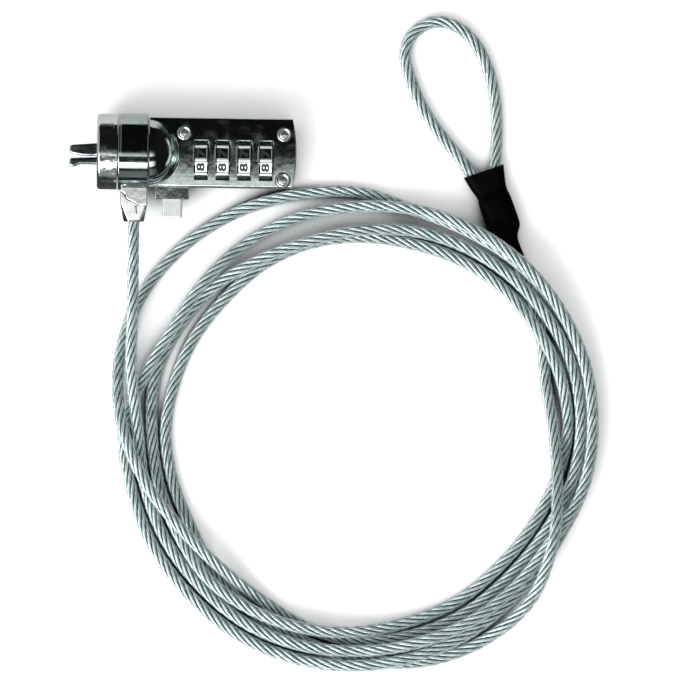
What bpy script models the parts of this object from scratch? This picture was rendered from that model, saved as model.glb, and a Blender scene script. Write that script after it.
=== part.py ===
"""A laptop cable lock: a four-dial housing with two slot jaws, and its steel security cable.

The lock lies on its back on the plane z = 0. The barrel runs along X, the jaws point to -X, and the
cable leaves the swivel ring towards -Y, lies in a coil and ends in an eye loop. Sizes are in
millimetres here and are turned into metres where a mesh is made.
"""

import math

import bmesh
import bpy
import numpy as np
from mathutils import Matrix, Vector

MM = 0.001
GAP = 0.3

# The barrel's axis and the housing's left end, from which the lock's pieces are measured.
BARREL_Y = 4.45
BARREL_Z = 11.0
HOUSING_X = -9.5

# Housing.
BLOCK_LENGTH = 41.9
BLOCK_TOP = 10.1
BLOCK_BOTTOM = -9.9
BLOCK_FRONT = 4.3
BLOCK_BACK = -11.0
BACK_ROUND = 5.0
FRONT_ROUND = 0.8
BOW_RADIUS = 42.3
DOME_RADIUS = 10.3
DOME_CENTRE_X = -1.0
SPLIT_Z = -4.15
SHROUD_X = (1.6, 11.4)
SHROUD_BOTTOM = -13.3
SHROUD_Z = (-8.0, 1.0)
CHAMBER = ((0.9, -9.1, -6.3), (10.9, 3.0, 2.6))

# Barrel, nose cap and swivel ring.
HUB_RADIUS = 7.0
HUB_BORE = 4.6
HUB_FRONT = -12.9
HUB_FLANGE = 7.8
CAP_RADIUS = 10.8
CAP_FRONT = -15.0
CAP_BACK = -9.3
RING_RADIUS = 11.0
RING_FRONT = -9.0
RING_BACK = -0.3
LUG_X = -4.3
LUG_WIDTH = 7.7
LUG_END = -19.9
LUG_SHOULDER = -14.7
SOCKET_DEPTH = 7.0

# Dials.
DIAL_Y = -2.06
DIAL_FIRST_X = 14.7
DIAL_PITCH = 6.17
DIAL_COUNT = 4
DIAL_RADIUS = 6.75
DIAL_WIDTH = 3.4
POCKET_RADIUS = 7.05
POCKET_WIDTH = 4.0
CODE_SLEEVE_RADIUS = 2.6
CODE_SLEEVE_LENGTH = 5.6
ROD_RADIUS = 1.5

# Jaws. They stand a little below the barrel's axis.
JAW_Y = -0.6
JAW_TAIL = -5.5
JAW_TIP = -22.9
JAW_SPLIT = -0.9
JAW_HALF_WIDTH = 3.15
JAW_HALF_THICKNESS = 1.5
JAW_PIVOT = (-10.5, 1.7)
JAW_PIN_RADIUS = 0.6

# Button.
BUTTON_X = (3.7, 9.5)
BUTTON_Z = (-6.0, -1.0)
BUTTON_END = -18.8

RIVETS = {
    "rivet_top_left": (9.8, 5.6),
    "rivet_top_right": (38.3, 5.5),
    "rivet_bottom_right": (38.1, -7.5),
}

# Cable. The coil's frame is turned a little from the lock's.
CABLE_DIAMETER = 3.5
CABLE_RADIUS = CABLE_DIAMETER / 2
COIL_CENTRE = (51.1, -73.95)
COIL_TURN = math.radians(0.85)
POINTS_PER_LOOP = 24
FIRST_BEARING = 285
LEAST_GAP = 0.4

# Where each loop lies: its radius and its height above a strand on the table, at every 15 degrees
# of bearing, run anticlockwise from a bearing of 270 degrees.
COIL_START = [(67.0, 7.3)]
LOOP_1 = [
    (62.9, 4.0), (62.9, 0.0), (63.3, 0.0), (63.4, 0.0), (63.8, 2.0), (63.6, 4.0),
    (63.1, 4.1), (63.1, 5.7), (63.4, 5.1), (63.4, 3.6), (63.7, 3.9), (66.4, 4.2),
    (67.0, 4.4), (67.5, 4.4), (67.2, 6.4), (66.8, 9.2), (66.0, 7.3), (65.0, 4.6),
    (63.8, 3.4), (63.1, 1.6), (62.2, 1.5), (61.1, 3.9), (60.2, 4.2), (62.7, 2.9),
]
LOOP_2 = [
    (66.9, 0.0), (66.9, 0.0), (67.3, 0.0), (67.4, 0.0), (67.8, 0.0), (67.7, 1.0),
    (67.3, 4.0), (66.7, 4.0), (66.0, 1.8), (65.3, 0.0), (65.0, 0.0), (66.3, 0.0),
    (67.0, 0.0), (67.4, 0.0), (66.9, 2.3), (66.1, 5.2), (64.9, 3.4), (64.7, 0.6),
    (67.9, 0.0), (69.5, 0.0), (71.3, 0.0), (72.5, 0.0), (72.7, 0.0), (70.8, 2.5),
]
LOOP_3 = [
    (67.0, 6.4), (62.1, 5.4), (57.6, 5.2), (55.6, 4.3), (55.8, 0.7), (58.1, 0.0),
    (60.4, 0.0), (60.6, 0.0), (60.6, 0.0), (60.2, 0.0), (60.8, 0.0), (62.7, 1.7),
    (63.7, 2.2), (63.9, 2.2), (63.0, 4.0), (61.9, 4.2), (60.5, 2.5), (58.9, 2.6),
    (56.9, 3.7), (55.6, 4.0), (56.2, 3.7), (57.9, 1.4), (59.1, 0.0), (59.9, 0.0),
]
LOOP_4 = [
    (58.9, 0.0), (58.9, 0.0), (59.3, 1.0), (60.3, 3.8), (59.6, 4.0), (58.7, 4.6),
    (57.6, 3.2), (56.6, 1.2), (56.5, 0.0), (56.1, 0.0), (56.8, 0.0), (58.2, 0.0),
    (59.9, 0.0), (59.7, 3.3), (58.6, 4.2), (57.8, 1.0), (56.5, 0.0), (55.3, 0.0),
    (55.1, 0.0), (55.0, 0.0), (54.4, 0.0), (53.4, 0.0), (53.7, 0.0), (54.1, 0.0),
]
LOOP_5 = [
    (54.9, 0.0), (54.9, 0.0), (55.2, 0.0), (58.0, 0.0), (60.0, 0.0), (62.2, 0.0),
    (65.3, 0.0), (68.6, 0.0), (70.0, 0.0), (69.3, 4.2), (64.3, 8.5), (58.9, 5.2),
    (55.8, 2.1), (55.4, 0.0),
]
# From the last loop under all the others into the sleeve, in the coil's frame.
COIL_END = [
    (52.9, 22.6, 1.75), (51.6, 30.9, 1.75), (49.3, 39.7, 1.85), (47.2, 44.6, 2.2),
    (45.3, 48.6, 2.35), (44.2, 51.4, 2.5), (43.17, 53.82, 2.75), (42.0, 57.12, 2.95),
]
# The eye loop's route, in the coil's frame, from the ferrule out and back to it.
EYE_ROUTE = [
    (37.16, 64.93, 2.75), (35.99, 68.23, 2.6), (34.2, 71.2, 2.45), (31.8, 74.3, 2.4), (28.3, 78.7, 1.8),
    (24.2, 83.6, 1.75), (20.6, 88.6, 1.75), (17.4, 94.2, 1.75), (14.7, 101.2, 1.75),
    (13.4, 107.3, 1.75), (15.0, 112.4, 1.75), (18.9, 115.6, 1.75), (23.4, 116.7, 1.75),
    (28.0, 115.4, 1.75), (32.0, 112.3, 1.75), (35.2, 107.7, 1.75), (37.6, 101.7, 1.75),
    (39.1, 95.1, 1.75), (39.6, 88.3, 1.75), (39.6, 82.0, 1.8), (39.2, 75.6, 2.4),
    (39.2, 72.6, 2.45), (39.67, 69.53, 2.6), (40.84, 66.23, 2.75),
]
# Sections of the sleeve along its axis: x, y in the coil's frame, width and thickness.
SLEEVE_SECTIONS = [
    (35.9, 73.9, 12.0, 4.9), (36.95, 70.9, 10.6, 4.9), (38.3, 67.6, 8.9, 4.9), (39.0, 65.6, 9.4, 6.1),
    (41.0, 59.9, 9.6, 6.1), (42.0, 57.0, 9.0, 6.1), (43.0, 54.4, 5.6, 5.2), (44.2, 51.4, 4.9, 4.8),
    (45.2, 48.9, 5.0, 4.7),
]
SLEEVE_WALL = 0.3
FERRULE_START = (39.1, 65.3)
FERRULE_END = (41.9, 57.4)
FERRULE_WIDTH = 8.2
FERRULE_THICKNESS = 4.8

CHROME = ((0.62, 0.66, 0.66), 0.12, 1.0)
DARK_CHROME = ((0.42, 0.46, 0.46), 0.15, 1.0)
SATIN = ((0.60, 0.62, 0.61), 0.35, 1.0)
STEEL = ((0.50, 0.51, 0.52), 0.30, 1.0)
BRASS = ((0.70, 0.55, 0.28), 0.35, 1.0)
ROPE = ((0.44, 0.52, 0.52), 0.35, 0.9)
BLACK = ((0.006, 0.006, 0.006), 0.55, 0.0)


def clear_scene():
    """Start from an empty file."""
    for obj in list(bpy.data.objects):
        bpy.data.objects.remove(obj, do_unlink=True)


def collection(name):
    """A new collection in the scene."""
    made = bpy.data.collections.new(name)
    bpy.context.scene.collection.children.link(made)
    return made


def at(x, y, z):
    """A point given from the housing's left end and the barrel's axis, in millimetres in the world."""
    return Vector((HOUSING_X + x, BARREL_Y + y, BARREL_Z + z))


def coil_at(x, y, z):
    """A point given in the coil's frame, in millimetres in the world."""
    cos, sin = math.cos(COIL_TURN), math.sin(COIL_TURN)
    return Vector((COIL_CENTRE[0] + x * cos - y * sin, COIL_CENTRE[1] + x * sin + y * cos, z))


def paint(obj, name, finish):
    """Give an object a material of its own."""
    colour, roughness, metallic = finish
    material = bpy.data.materials.new(name + "_finish")
    material.use_nodes = True
    shader = material.node_tree.nodes["Principled BSDF"]
    shader.inputs["Base Color"].default_value = (*colour, 1.0)
    shader.inputs["Roughness"].default_value = roughness
    shader.inputs["Metallic"].default_value = metallic
    material.diffuse_color = (*colour, 1.0)
    obj.data.materials.clear()
    obj.data.materials.append(material)


def add_mesh(name, bm, home):
    """Make an object from a bmesh that is in millimetres, in its own frame."""
    bmesh.ops.recalc_face_normals(bm, faces=bm.faces)
    bmesh.ops.scale(bm, vec=(MM, MM, MM), verts=bm.verts)
    mesh = bpy.data.meshes.new(name)
    bm.to_mesh(mesh)
    bm.free()
    obj = bpy.data.objects.new(name, mesh)
    home.objects.link(obj)
    return obj


def set_origin(obj, point):
    """Move an object's origin to a point given in millimetres, and leave its mesh where it is."""
    shift = Vector(point) * MM - obj.location
    obj.data.transform(Matrix.Translation(-shift))
    obj.location += shift


def box(name, low, high, home):
    """A box between two corners given in the housing's frame."""
    low, high = at(*low), at(*high)
    bm = bmesh.new()
    bmesh.ops.create_cube(bm, size=1.0)
    bmesh.ops.scale(bm, vec=high - low, verts=bm.verts)
    bmesh.ops.translate(bm, vec=(low + high) / 2, verts=bm.verts)
    return add_mesh(name, bm, home)


AXIS_TURNS = {
    "X": Matrix.Rotation(math.radians(90), 3, "Y"),
    "Y": Matrix.Rotation(math.radians(-90), 3, "X"),
    "Z": Matrix.Identity(3),
}


def rod(name, start, length, radius, axis, home, sides=24, end_radius=None):
    """A cylinder or cone that runs from a point of the housing's frame along +X, +Y or +Z."""
    bm = bmesh.new()
    bmesh.ops.create_cone(
        bm,
        cap_ends=True,
        segments=sides,
        radius1=radius,
        radius2=radius if end_radius is None else end_radius,
        depth=length,
    )
    bmesh.ops.translate(bm, vec=(0, 0, length / 2), verts=bm.verts)
    bmesh.ops.rotate(bm, matrix=AXIS_TURNS[axis], verts=bm.verts)
    bmesh.ops.translate(bm, vec=at(*start), verts=bm.verts)
    return add_mesh(name, bm, home)


def turned(name, profile, steps, axis, centre, home):
    """A closed profile of (radius, height) points, turned round an axis by a Screw modifier.

    The profile runs down its outer side first.
    """
    bm = bmesh.new()
    points = [bm.verts.new((radius * MM, 0.0, height * MM)) for radius, height in profile]
    for first, second in zip(points, points[1:] + points[:1]):
        bm.edges.new((first, second))
    mesh = bpy.data.meshes.new(name)
    bm.to_mesh(mesh)
    bm.free()
    obj = bpy.data.objects.new(name, mesh)
    home.objects.link(obj)
    obj.rotation_euler = AXIS_TURNS[axis].to_euler()
    obj.location = at(*centre) * MM
    screw = obj.modifiers.new("Turn", "SCREW")
    screw.axis = "Z"
    screw.angle = math.tau
    screw.steps = steps
    screw.render_steps = steps
    screw.use_merge_vertices = True
    screw.merge_threshold = 0.00001
    return obj


def arc(centre, radius, start, end, count):
    """Points on an arc between two angles in degrees."""
    angles = [math.radians(start + (end - start) * i / count) for i in range(count + 1)]
    return [(centre[0] + radius * math.cos(a), centre[1] + radius * math.sin(a)) for a in angles]


def extruded(name, outline, low, high, axis, home):
    """A flat outline extruded between two places on an axis, in the housing's frame.

    The outline's two coordinates are y and z along X, and x and y along Z.
    """
    bm = bmesh.new()
    if axis == "X":
        start, along = [at(low, u, v) for u, v in outline], Vector((high - low, 0, 0))
    else:
        start, along = [at(u, v, low) for u, v in outline], Vector((0, 0, high - low))
    face = bm.faces.new([bm.verts.new(point) for point in start])
    made = bmesh.ops.extrude_face_region(bm, geom=[face])
    moved = [part for part in made["geom"] if isinstance(part, bmesh.types.BMVert)]
    bmesh.ops.translate(bm, vec=along, verts=moved)
    return add_mesh(name, bm, home)


def boolean(target, cutter, operation):
    """Add an exact Boolean modifier."""
    modifier = target.modifiers.new(cutter.name, "BOOLEAN")
    modifier.operation = operation
    modifier.solver = "EXACT"
    modifier.object = cutter
    cutter.hide_render = True
    cutter.display_type = "WIRE"


def cut(target, *tools):
    """Take each tool away from the target."""
    for tool in tools:
        boolean(target, tool, "DIFFERENCE")


def join(target, *tools):
    """Join each tool to the target."""
    for tool in tools:
        boolean(target, tool, "UNION")


def bevel(obj, width, segments=2, angle=40):
    """Round an object's edges that are sharper than an angle."""
    modifier = obj.modifiers.new("Bevel", "BEVEL")
    modifier.width = width * MM
    modifier.segments = segments
    modifier.limit_method = "ANGLE"
    modifier.angle_limit = math.radians(angle)


def smooth(obj, angle=35):
    """Shade a round piece smooth, with its edges sharp."""
    obj.data.shade_smooth()
    obj.data.set_sharp_from_angle(angle=math.radians(angle))


def block_outline():
    """The housing's section across the barrel: flat in front, well rounded at the back."""
    top, bottom = BLOCK_TOP, BLOCK_BOTTOM
    front, back = BLOCK_FRONT, BLOCK_BACK
    points = arc((top - FRONT_ROUND, front - FRONT_ROUND), FRONT_ROUND, 0, 90, 3)
    points += arc((bottom + FRONT_ROUND, front - FRONT_ROUND), FRONT_ROUND, 90, 180, 3)
    points += arc((bottom + BACK_ROUND, back + BACK_ROUND), BACK_ROUND, 180, 270, 8)
    points += arc((top - BACK_ROUND, back + BACK_ROUND), BACK_ROUND, 270, 360, 8)
    return points


def dome(name, home):
    """The half ball that ends the barrel against the housing's front."""
    bm = bmesh.new()
    bmesh.ops.create_uvsphere(bm, u_segments=36, v_segments=18, radius=DOME_RADIUS)
    bmesh.ops.rotate(bm, matrix=AXIS_TURNS["X"], verts=bm.verts)
    geometry = bm.verts[:] + bm.edges[:] + bm.faces[:]
    made = bmesh.ops.bisect_plane(
        bm, geom=geometry, plane_co=(-DOME_CENTRE_X, 0, 0), plane_no=(-1, 0, 0), clear_outer=True
    )
    rim = [part for part in made["geom_cut"] if isinstance(part, bmesh.types.BMEdge)]
    bmesh.ops.edgeloop_fill(bm, edges=rim)
    bmesh.ops.translate(bm, vec=at(DOME_CENTRE_X, 0, 0), verts=bm.verts)
    return add_mesh(name, bm, home)


def housing_cutters(home):
    """The hollows that both halves of the housing share."""
    low, high = CHAMBER
    tools = [
        box("cut_chamber", low, high, home),
        rod("cut_hub_seat", (-1.0, 0, 0), 1.7, HUB_RADIUS + GAP, "X", home, 36),
        rod("cut_hub_flange", (0.6, 0, 0), 1.6, HUB_FLANGE + GAP, "X", home, 36),
        rod("cut_sleeve_bore", (10.0, DIAL_Y, 0), 27.0, CODE_SLEEVE_RADIUS + GAP, "X", home),
        rod("cut_rod_bore", (36.0, DIAL_Y, 0), 4.4, ROD_RADIUS + GAP, "X", home),
        box(
            "cut_button_bore",
            (BUTTON_X[0] - GAP, SHROUD_BOTTOM - 1.0, BUTTON_Z[0] - GAP),
            (BUTTON_X[1] + GAP, -9.0, BUTTON_Z[1] + GAP),
            home,
        ),
        rod("cut_pin_bore", (10.3, -12.4, SHROUD_Z[0] + 0.8), 9.0, 0.8, "Z", home, 16),
    ]
    for index in range(DIAL_COUNT):
        x = DIAL_FIRST_X + index * DIAL_PITCH - POCKET_WIDTH / 2
        name = f"cut_pocket_{index + 1}"
        tools.append(rod(name, (x, DIAL_Y, 0), POCKET_WIDTH, POCKET_RADIUS, "X", home, 40))
    for name, (x, y) in RIVETS.items():
        tools.append(rod(f"cut_{name}_head", (x, y, 3.3), 2.0, 2.3, "Z", home))
        tools.append(rod(f"cut_{name}_shank", (x, y, -9.2), 13.0, 1.5, "Z", home, 16))
    return tools


def housing_half(name, low_z, high_z, tools, home, cutters):
    """One half of the housing, between two heights."""
    half = extruded(name, block_outline(), 0.4, BLOCK_LENGTH, "X", home)
    bow_start = (BLOCK_LENGTH - BOW_RADIUS, 0.1, -15.0)
    bow = rod(f"{name}_bow", bow_start, 25.0, BOW_RADIUS, "Z", cutters, 180)
    boolean(half, bow, "INTERSECT")
    shroud = box(
        f"{name}_shroud",
        (SHROUD_X[0], SHROUD_BOTTOM, SHROUD_Z[0]),
        (SHROUD_X[1], -5.0, SHROUD_Z[1]),
        cutters,
    )
    join(half, dome(f"{name}_dome", cutters), shroud)
    keep = box(f"{name}_span", (-5.0, -30.0, low_z), (60.0, 30.0, high_z), cutters)
    boolean(half, keep, "INTERSECT")
    cut(half, *tools)
    paint(half, name, CHROME)
    return half


def make_housing(home, cutters):
    """The front and back cases, and the rivets that hold them together."""
    tools = housing_cutters(cutters)
    housing_half("front_case", SPLIT_Z + GAP / 2, 15.0, tools, home, cutters)
    channel = box("cut_detent_channel", (12.2, 2.6, -6.2), (35.8, 6.3, -3.5), cutters)
    back_tools = tools + [channel]
    housing_half("back_case", -15.0, SPLIT_Z - GAP / 2, back_tools, home, cutters)
    rivet_profile = [
        (0.0, 4.75), (1.1, 4.6), (1.75, 4.3), (2.0, 3.9), (2.0, 3.6),
        (1.2, 3.6), (1.2, -8.9), (0.0, -8.9),
    ]
    for name, (x, y) in RIVETS.items():
        rivet = turned(name, rivet_profile, 20, "Z", (x, y, 0), home)
        paint(rivet, name, SATIN)
        smooth(rivet)


def make_barrel(home, cutters):
    """The tube that the ring turns on, and the nose cap over its front end."""
    hub_profile = [
        (HUB_FLANGE, 1.6), (HUB_FLANGE, 0.9), (HUB_RADIUS, 0.9), (HUB_RADIUS, HUB_FRONT),
        (HUB_BORE, HUB_FRONT), (HUB_BORE, -3.6), (ROD_RADIUS + GAP, -3.6), (ROD_RADIUS + GAP, -2.6),
        (HUB_BORE, -2.6), (HUB_BORE, 1.6),
    ]
    hub = turned("barrel_tube", hub_profile, 40, "X", (0, 0, 0), home)
    for side, sign in (("upper", 1), ("lower", -1)):
        start = (JAW_PIVOT[0], JAW_Y + sign * JAW_PIVOT[1], -6.2)
        tool = rod(f"cut_{side}_pin_hole", start, 12.4, JAW_PIN_RADIUS + GAP, "Z", cutters, 12)
        cut(hub, tool)
    paint(hub, "barrel_tube", STEEL)
    edge = 0.9
    rim = arc((CAP_RADIUS - edge, CAP_FRONT + edge), edge, 0, -90, 4)
    cap_profile = [(CAP_RADIUS, CAP_BACK)] + rim + [(0.0, CAP_FRONT), (0.0, -13.2)]
    cap_profile += [(HUB_RADIUS + GAP, -13.2), (HUB_RADIUS + GAP, CAP_BACK)]
    cap = turned("nose_cap", cap_profile, 48, "X", (0, 0, 0), home)
    reach = JAW_HALF_WIDTH + 0.45
    slot = box("cut_jaw_slot", (-16.0, JAW_Y - reach, -1.85), (-12.0, JAW_Y + reach, 1.85), cutters)
    cut(cap, slot)
    paint(cap, "nose_cap", CHROME)


def octagon(width, depth, chamfer):
    """The corners of a rectangle with its corners cut, as (x, z) pairs."""
    u, v = width / 2, depth / 2
    return [
        (u, v - chamfer), (u - chamfer, v), (chamfer - u, v), (-u, v - chamfer),
        (-u, chamfer - v), (chamfer - u, -v), (u - chamfer, -v), (u, chamfer - v),
    ]


def loft(name, rings, home):
    """A closed solid through rings of points that have the same count."""
    bm = bmesh.new()
    loops = []
    for ring in rings:
        points = [bm.verts.new(point) for point in ring]
        pairs = zip(points, points[1:] + points[:1])
        loops.append([bm.edges.new(pair) for pair in pairs])
    for first, second in zip(loops, loops[1:]):
        bmesh.ops.bridge_loops(bm, edges=first + second)
    bmesh.ops.edgeloop_fill(bm, edges=loops[0])
    bmesh.ops.edgeloop_fill(bm, edges=loops[-1])
    return add_mesh(name, bm, home)


def make_ring(home, cutters):
    """The swivel ring, with the lug that holds the cable's end."""
    edge = 0.4
    outer = arc((RING_RADIUS - edge, RING_BACK - edge), edge, 90, 0, 2)
    outer += arc((RING_RADIUS - edge, RING_FRONT + edge), edge, 0, -90, 2)
    bore = HUB_RADIUS + GAP
    profile = outer + [(bore, RING_FRONT), (bore, RING_BACK)]
    ring = turned("swivel_ring", profile, 64, "X", (0, 0, 0), home)
    sections = [
        (-8.6, LUG_WIDTH, 7.8, 0.3),
        (LUG_SHOULDER, LUG_WIDTH, 7.8, 0.3),
        (-19.3, 6.0, 6.4, 1.3),
        (LUG_END, 5.6, 5.8, 1.3),
    ]
    rings = [
        [at(LUG_X + x, y, z) for x, z in octagon(width, depth, chamfer)]
        for y, width, depth, chamfer in sections
    ]
    join(ring, loft("lug_body", rings, cutters))
    socket_start = (LUG_X, LUG_END - 1.0, 0)
    socket = rod("cut_cable_socket", socket_start, SOCKET_DEPTH + 1.0, CABLE_RADIUS + GAP, "Y", cutters, 20)
    cut(ring, socket)
    paint(ring, "swivel_ring", CHROME)


def jaw_outline(sign):
    """A jaw's outline, above the middle for sign 1 and below it for sign -1.

    In front of the cap the gap between the jaws runs lower, so the upper jaw is the thicker one. The
    lower jaw ends in a small knob.
    """
    half = JAW_HALF_WIDTH
    mouth = GAP / 2
    outline = [(JAW_TAIL, 1.9), (-11.2, mouth), (-13.2, mouth)]
    mouth += sign * JAW_SPLIT
    outline += [(-15.6, mouth), (-17.7, mouth), (-19.4, mouth + 0.07)]
    low, high, nose = (-0.2, 2.5, 1.0) if sign > 0 else (1.25, 3.8, 0.8)
    outline += arc((JAW_TIP + nose, low + nose), nose, 270, 180, 3)
    outline += arc((JAW_TIP + nose, high - nose), nose, 180, 90, 3)
    if sign > 0:
        outline.append((-16.0, 2.95))
    else:
        outline += [(-20.9, high), (-20.3, high - 0.25), (-20.1, half)]
    outline += [(-12.0, half), (JAW_TAIL, half)]
    return [(x, JAW_Y + sign * y) for x, y in outline]


def make_jaws(home, cutters):
    """The two prongs that grip the slot, each on its own pin."""
    for side, sign in (("upper", 1), ("lower", -1)):
        pivot = (JAW_PIVOT[0], JAW_Y + sign * JAW_PIVOT[1])
        name = f"{side}_jaw"
        thick = JAW_HALF_THICKNESS
        jaw = extruded(name, jaw_outline(sign), -thick, thick, "Z", home)
        hole = rod(f"cut_{name}_hole", (*pivot, -3.0), 6.0, JAW_PIN_RADIUS + GAP, "Z", cutters, 12)
        cut(jaw, hole)
        set_origin(jaw, at(*pivot, 0))
        paint(jaw, name, CHROME)
        pin = rod(f"{side}_jaw_pin", (*pivot, -5.6), 11.2, JAW_PIN_RADIUS, "Z", home, 12)
        paint(pin, f"{side}_jaw_pin", STEEL)
        smooth(pin)


def make_dials(home, cutters):
    """Four ten-sided dials, each with a notched code sleeve inside it."""
    for index in range(DIAL_COUNT):
        centre = DIAL_FIRST_X + index * DIAL_PITCH
        name = f"dial_{index + 1}"
        start = (centre - DIAL_WIDTH / 2, DIAL_Y, 0)
        dial = rod(name, start, DIAL_WIDTH, DIAL_RADIUS, "X", home, 10)
        bore_start = (centre - DIAL_WIDTH, DIAL_Y, 0)
        radius = CODE_SLEEVE_RADIUS + GAP
        bore = rod(f"cut_{name}_bore", bore_start, 2 * DIAL_WIDTH, radius, "X", cutters)
        cut(dial, bore)
        set_origin(dial, at(centre, DIAL_Y, 0))
        paint(dial, name, DARK_CHROME)
        name = f"code_sleeve_{index + 1}"
        half = CODE_SLEEVE_LENGTH / 2
        outer, inner = CODE_SLEEVE_RADIUS, ROD_RADIUS + GAP
        profile = [(outer, half), (outer, -half), (inner, -half), (inner, half)]
        sleeve = turned(name, profile, 24, "X", (centre, DIAL_Y, 0), home)
        low = (centre - half - 1.0, DIAL_Y - 0.5, 1.2)
        high = (centre - half + 1.2, DIAL_Y + 0.5, 3.5)
        cut(sleeve, box(f"cut_{name}_notch", low, high, cutters))
        paint(sleeve, name, BRASS)


def helix(name, start, end, radius, wire, turns, home, finish):
    """A coil spring between two points of the housing's frame, as a round wire."""
    start, end = at(*start), at(*end)
    along = (end - start).normalized()
    side = along.orthogonal().normalized()
    other = along.cross(side)
    count = turns * 10
    points = []
    for index in range(count + 1):
        angle = math.tau * turns * index / count
        spoke = side * math.cos(angle) + other * math.sin(angle)
        points.append(start + (end - start) * index / count + spoke * radius)
    spring = tube(name, points, wire, 1, home)
    paint(spring, name, finish)


def tube(name, points, radius, resolution, home):
    """A round tube along points given in millimetres in the world."""
    curve = bpy.data.curves.new(name, "CURVE")
    curve.dimensions = "3D"
    curve.bevel_depth = radius * MM
    curve.bevel_resolution = resolution
    curve.use_fill_caps = True
    spline = curve.splines.new("POLY")
    spline.points.add(len(points) - 1)
    for target, point in zip(spline.points, points):
        target.co = (*(Vector(point) * MM), 1.0)
    obj = bpy.data.objects.new(name, curve)
    home.objects.link(obj)
    return obj


def make_lockwork(home, cutters):
    """The button, the spindle that it drives to the jaws, and their springs."""
    z_low, z_high = BUTTON_Z
    body_low = (BUTTON_X[0], BUTTON_END, z_low)
    button = box("button", body_low, (BUTTON_X[1], -8.5, z_high), home)
    bevel(button, 0.5)
    flange = box("button_flange", (3.0, -8.8, z_low), (10.2, -8.0, -2.4), cutters)
    wedge_outline = [(3.1, -8.4), (7.2, -8.4), (7.2, -2.7), (6.75, -2.7), (3.1, -8.2)]
    wedge = extruded("button_wedge", wedge_outline, -5.8, -2.4, "Z", cutters)
    join(button, flange, wedge)
    set_origin(button, at(6.6, -13.0, -3.5))
    paint(button, "button", SATIN)
    pin = rod("button_pin", (10.3, -12.4, -7.0), 8.0, 0.5, "Z", home, 12)
    paint(pin, "button_pin", STEEL)
    smooth(pin)
    spindle = rod("spindle", (4.6, DIAL_Y, 0), 33.4, ROD_RADIUS, "X", home, 16)
    front = rod("spindle_front", (-3.1, 0, 0), 7.9, ROD_RADIUS, "X", cutters, 16)
    tip = rod("spindle_tip", (-8.3, JAW_Y, 0), 5.4, 0.15, "X", cutters, 16, 0.85)
    arm = box("spindle_arm", (4.0, -3.9, -3.6), (5.6, 1.9, 1.8), cutters)
    join(spindle, arm, front, tip)
    set_origin(spindle, at(0, 0, 0))
    paint(spindle, "spindle", STEEL)
    helix("spindle_spring", (-2.2, 0, 0), (3.6, 0, 0), 2.2, 0.3, 4, home, STEEL)
    helix("button_spring", (8.7, -7.6, -4.2), (8.7, 2.6, -4.2), 0.9, 0.2, 6, home, STEEL)
    strip = box("detent_spring", (12.6, 5.4, -5.9), (35.4, 5.9, -4.6), home)
    for index in range(DIAL_COUNT):
        centre = DIAL_FIRST_X + index * DIAL_PITCH
        low, high = (centre - 1.3, 3.0, -5.5), (centre + 1.3, 5.6, -5.0)
        join(strip, box(f"detent_tongue_{index + 1}", low, high, cutters))
    paint(strip, "detent_spring", BRASS)


def coil_points():
    """The wound cable's centre line: its loops, then its end, which runs into the sleeve."""
    stations = COIL_START + LOOP_1 + LOOP_2 + LOOP_3 + LOOP_4 + LOOP_5
    step = 360 / POINTS_PER_LOOP
    points = []
    for index, (radius, height) in enumerate(stations):
        bearing = math.radians(FIRST_BEARING - index * step)
        x, y = radius * math.sin(bearing), radius * math.cos(bearing)
        points.append(coil_at(x, y, CABLE_RADIUS + height))
    return points + [coil_at(*point) for point in COIL_END]


def smooth_route(points, spacing):
    """Points about one spacing apart on a smooth curve through the given ones, straight at its ends."""
    route = [points[0]]
    for before, start, end, after in zip(points, points[1:], points[2:], points[3:]):
        count = max(1, round((end - start).length / spacing))
        for index in range(count):
            t = index / count
            leave = (end - before) * (t - 2 * t**2 + t**3) / 2
            arrive = (after - start) * (t**3 - t**2) / 2
            route.append(start + (end - start) * (3 * t**2 - 2 * t**3) + leave + arrive)
    return route + points[-2:]


def least_gap(points):
    """The smallest gap between two stretches of the wound tube that aren't neighbours."""
    fine = []
    for start, end in zip(points, points[1:]):
        fine += [start + (end - start) * step / 12 for step in range(12)]
    line = np.array([tuple(point) for point in fine])
    apart = 36
    least = 1000.0
    for index in range(len(line) - apart):
        away = line[index + apart:] - line[index]
        least = min(least, float(np.sqrt((away**2).sum(axis=1)).min()))
    return least - CABLE_DIAMETER


def length_of(points):
    """The length of a line of points."""
    return sum((end - start).length for start, end in zip(points, points[1:]))


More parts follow.
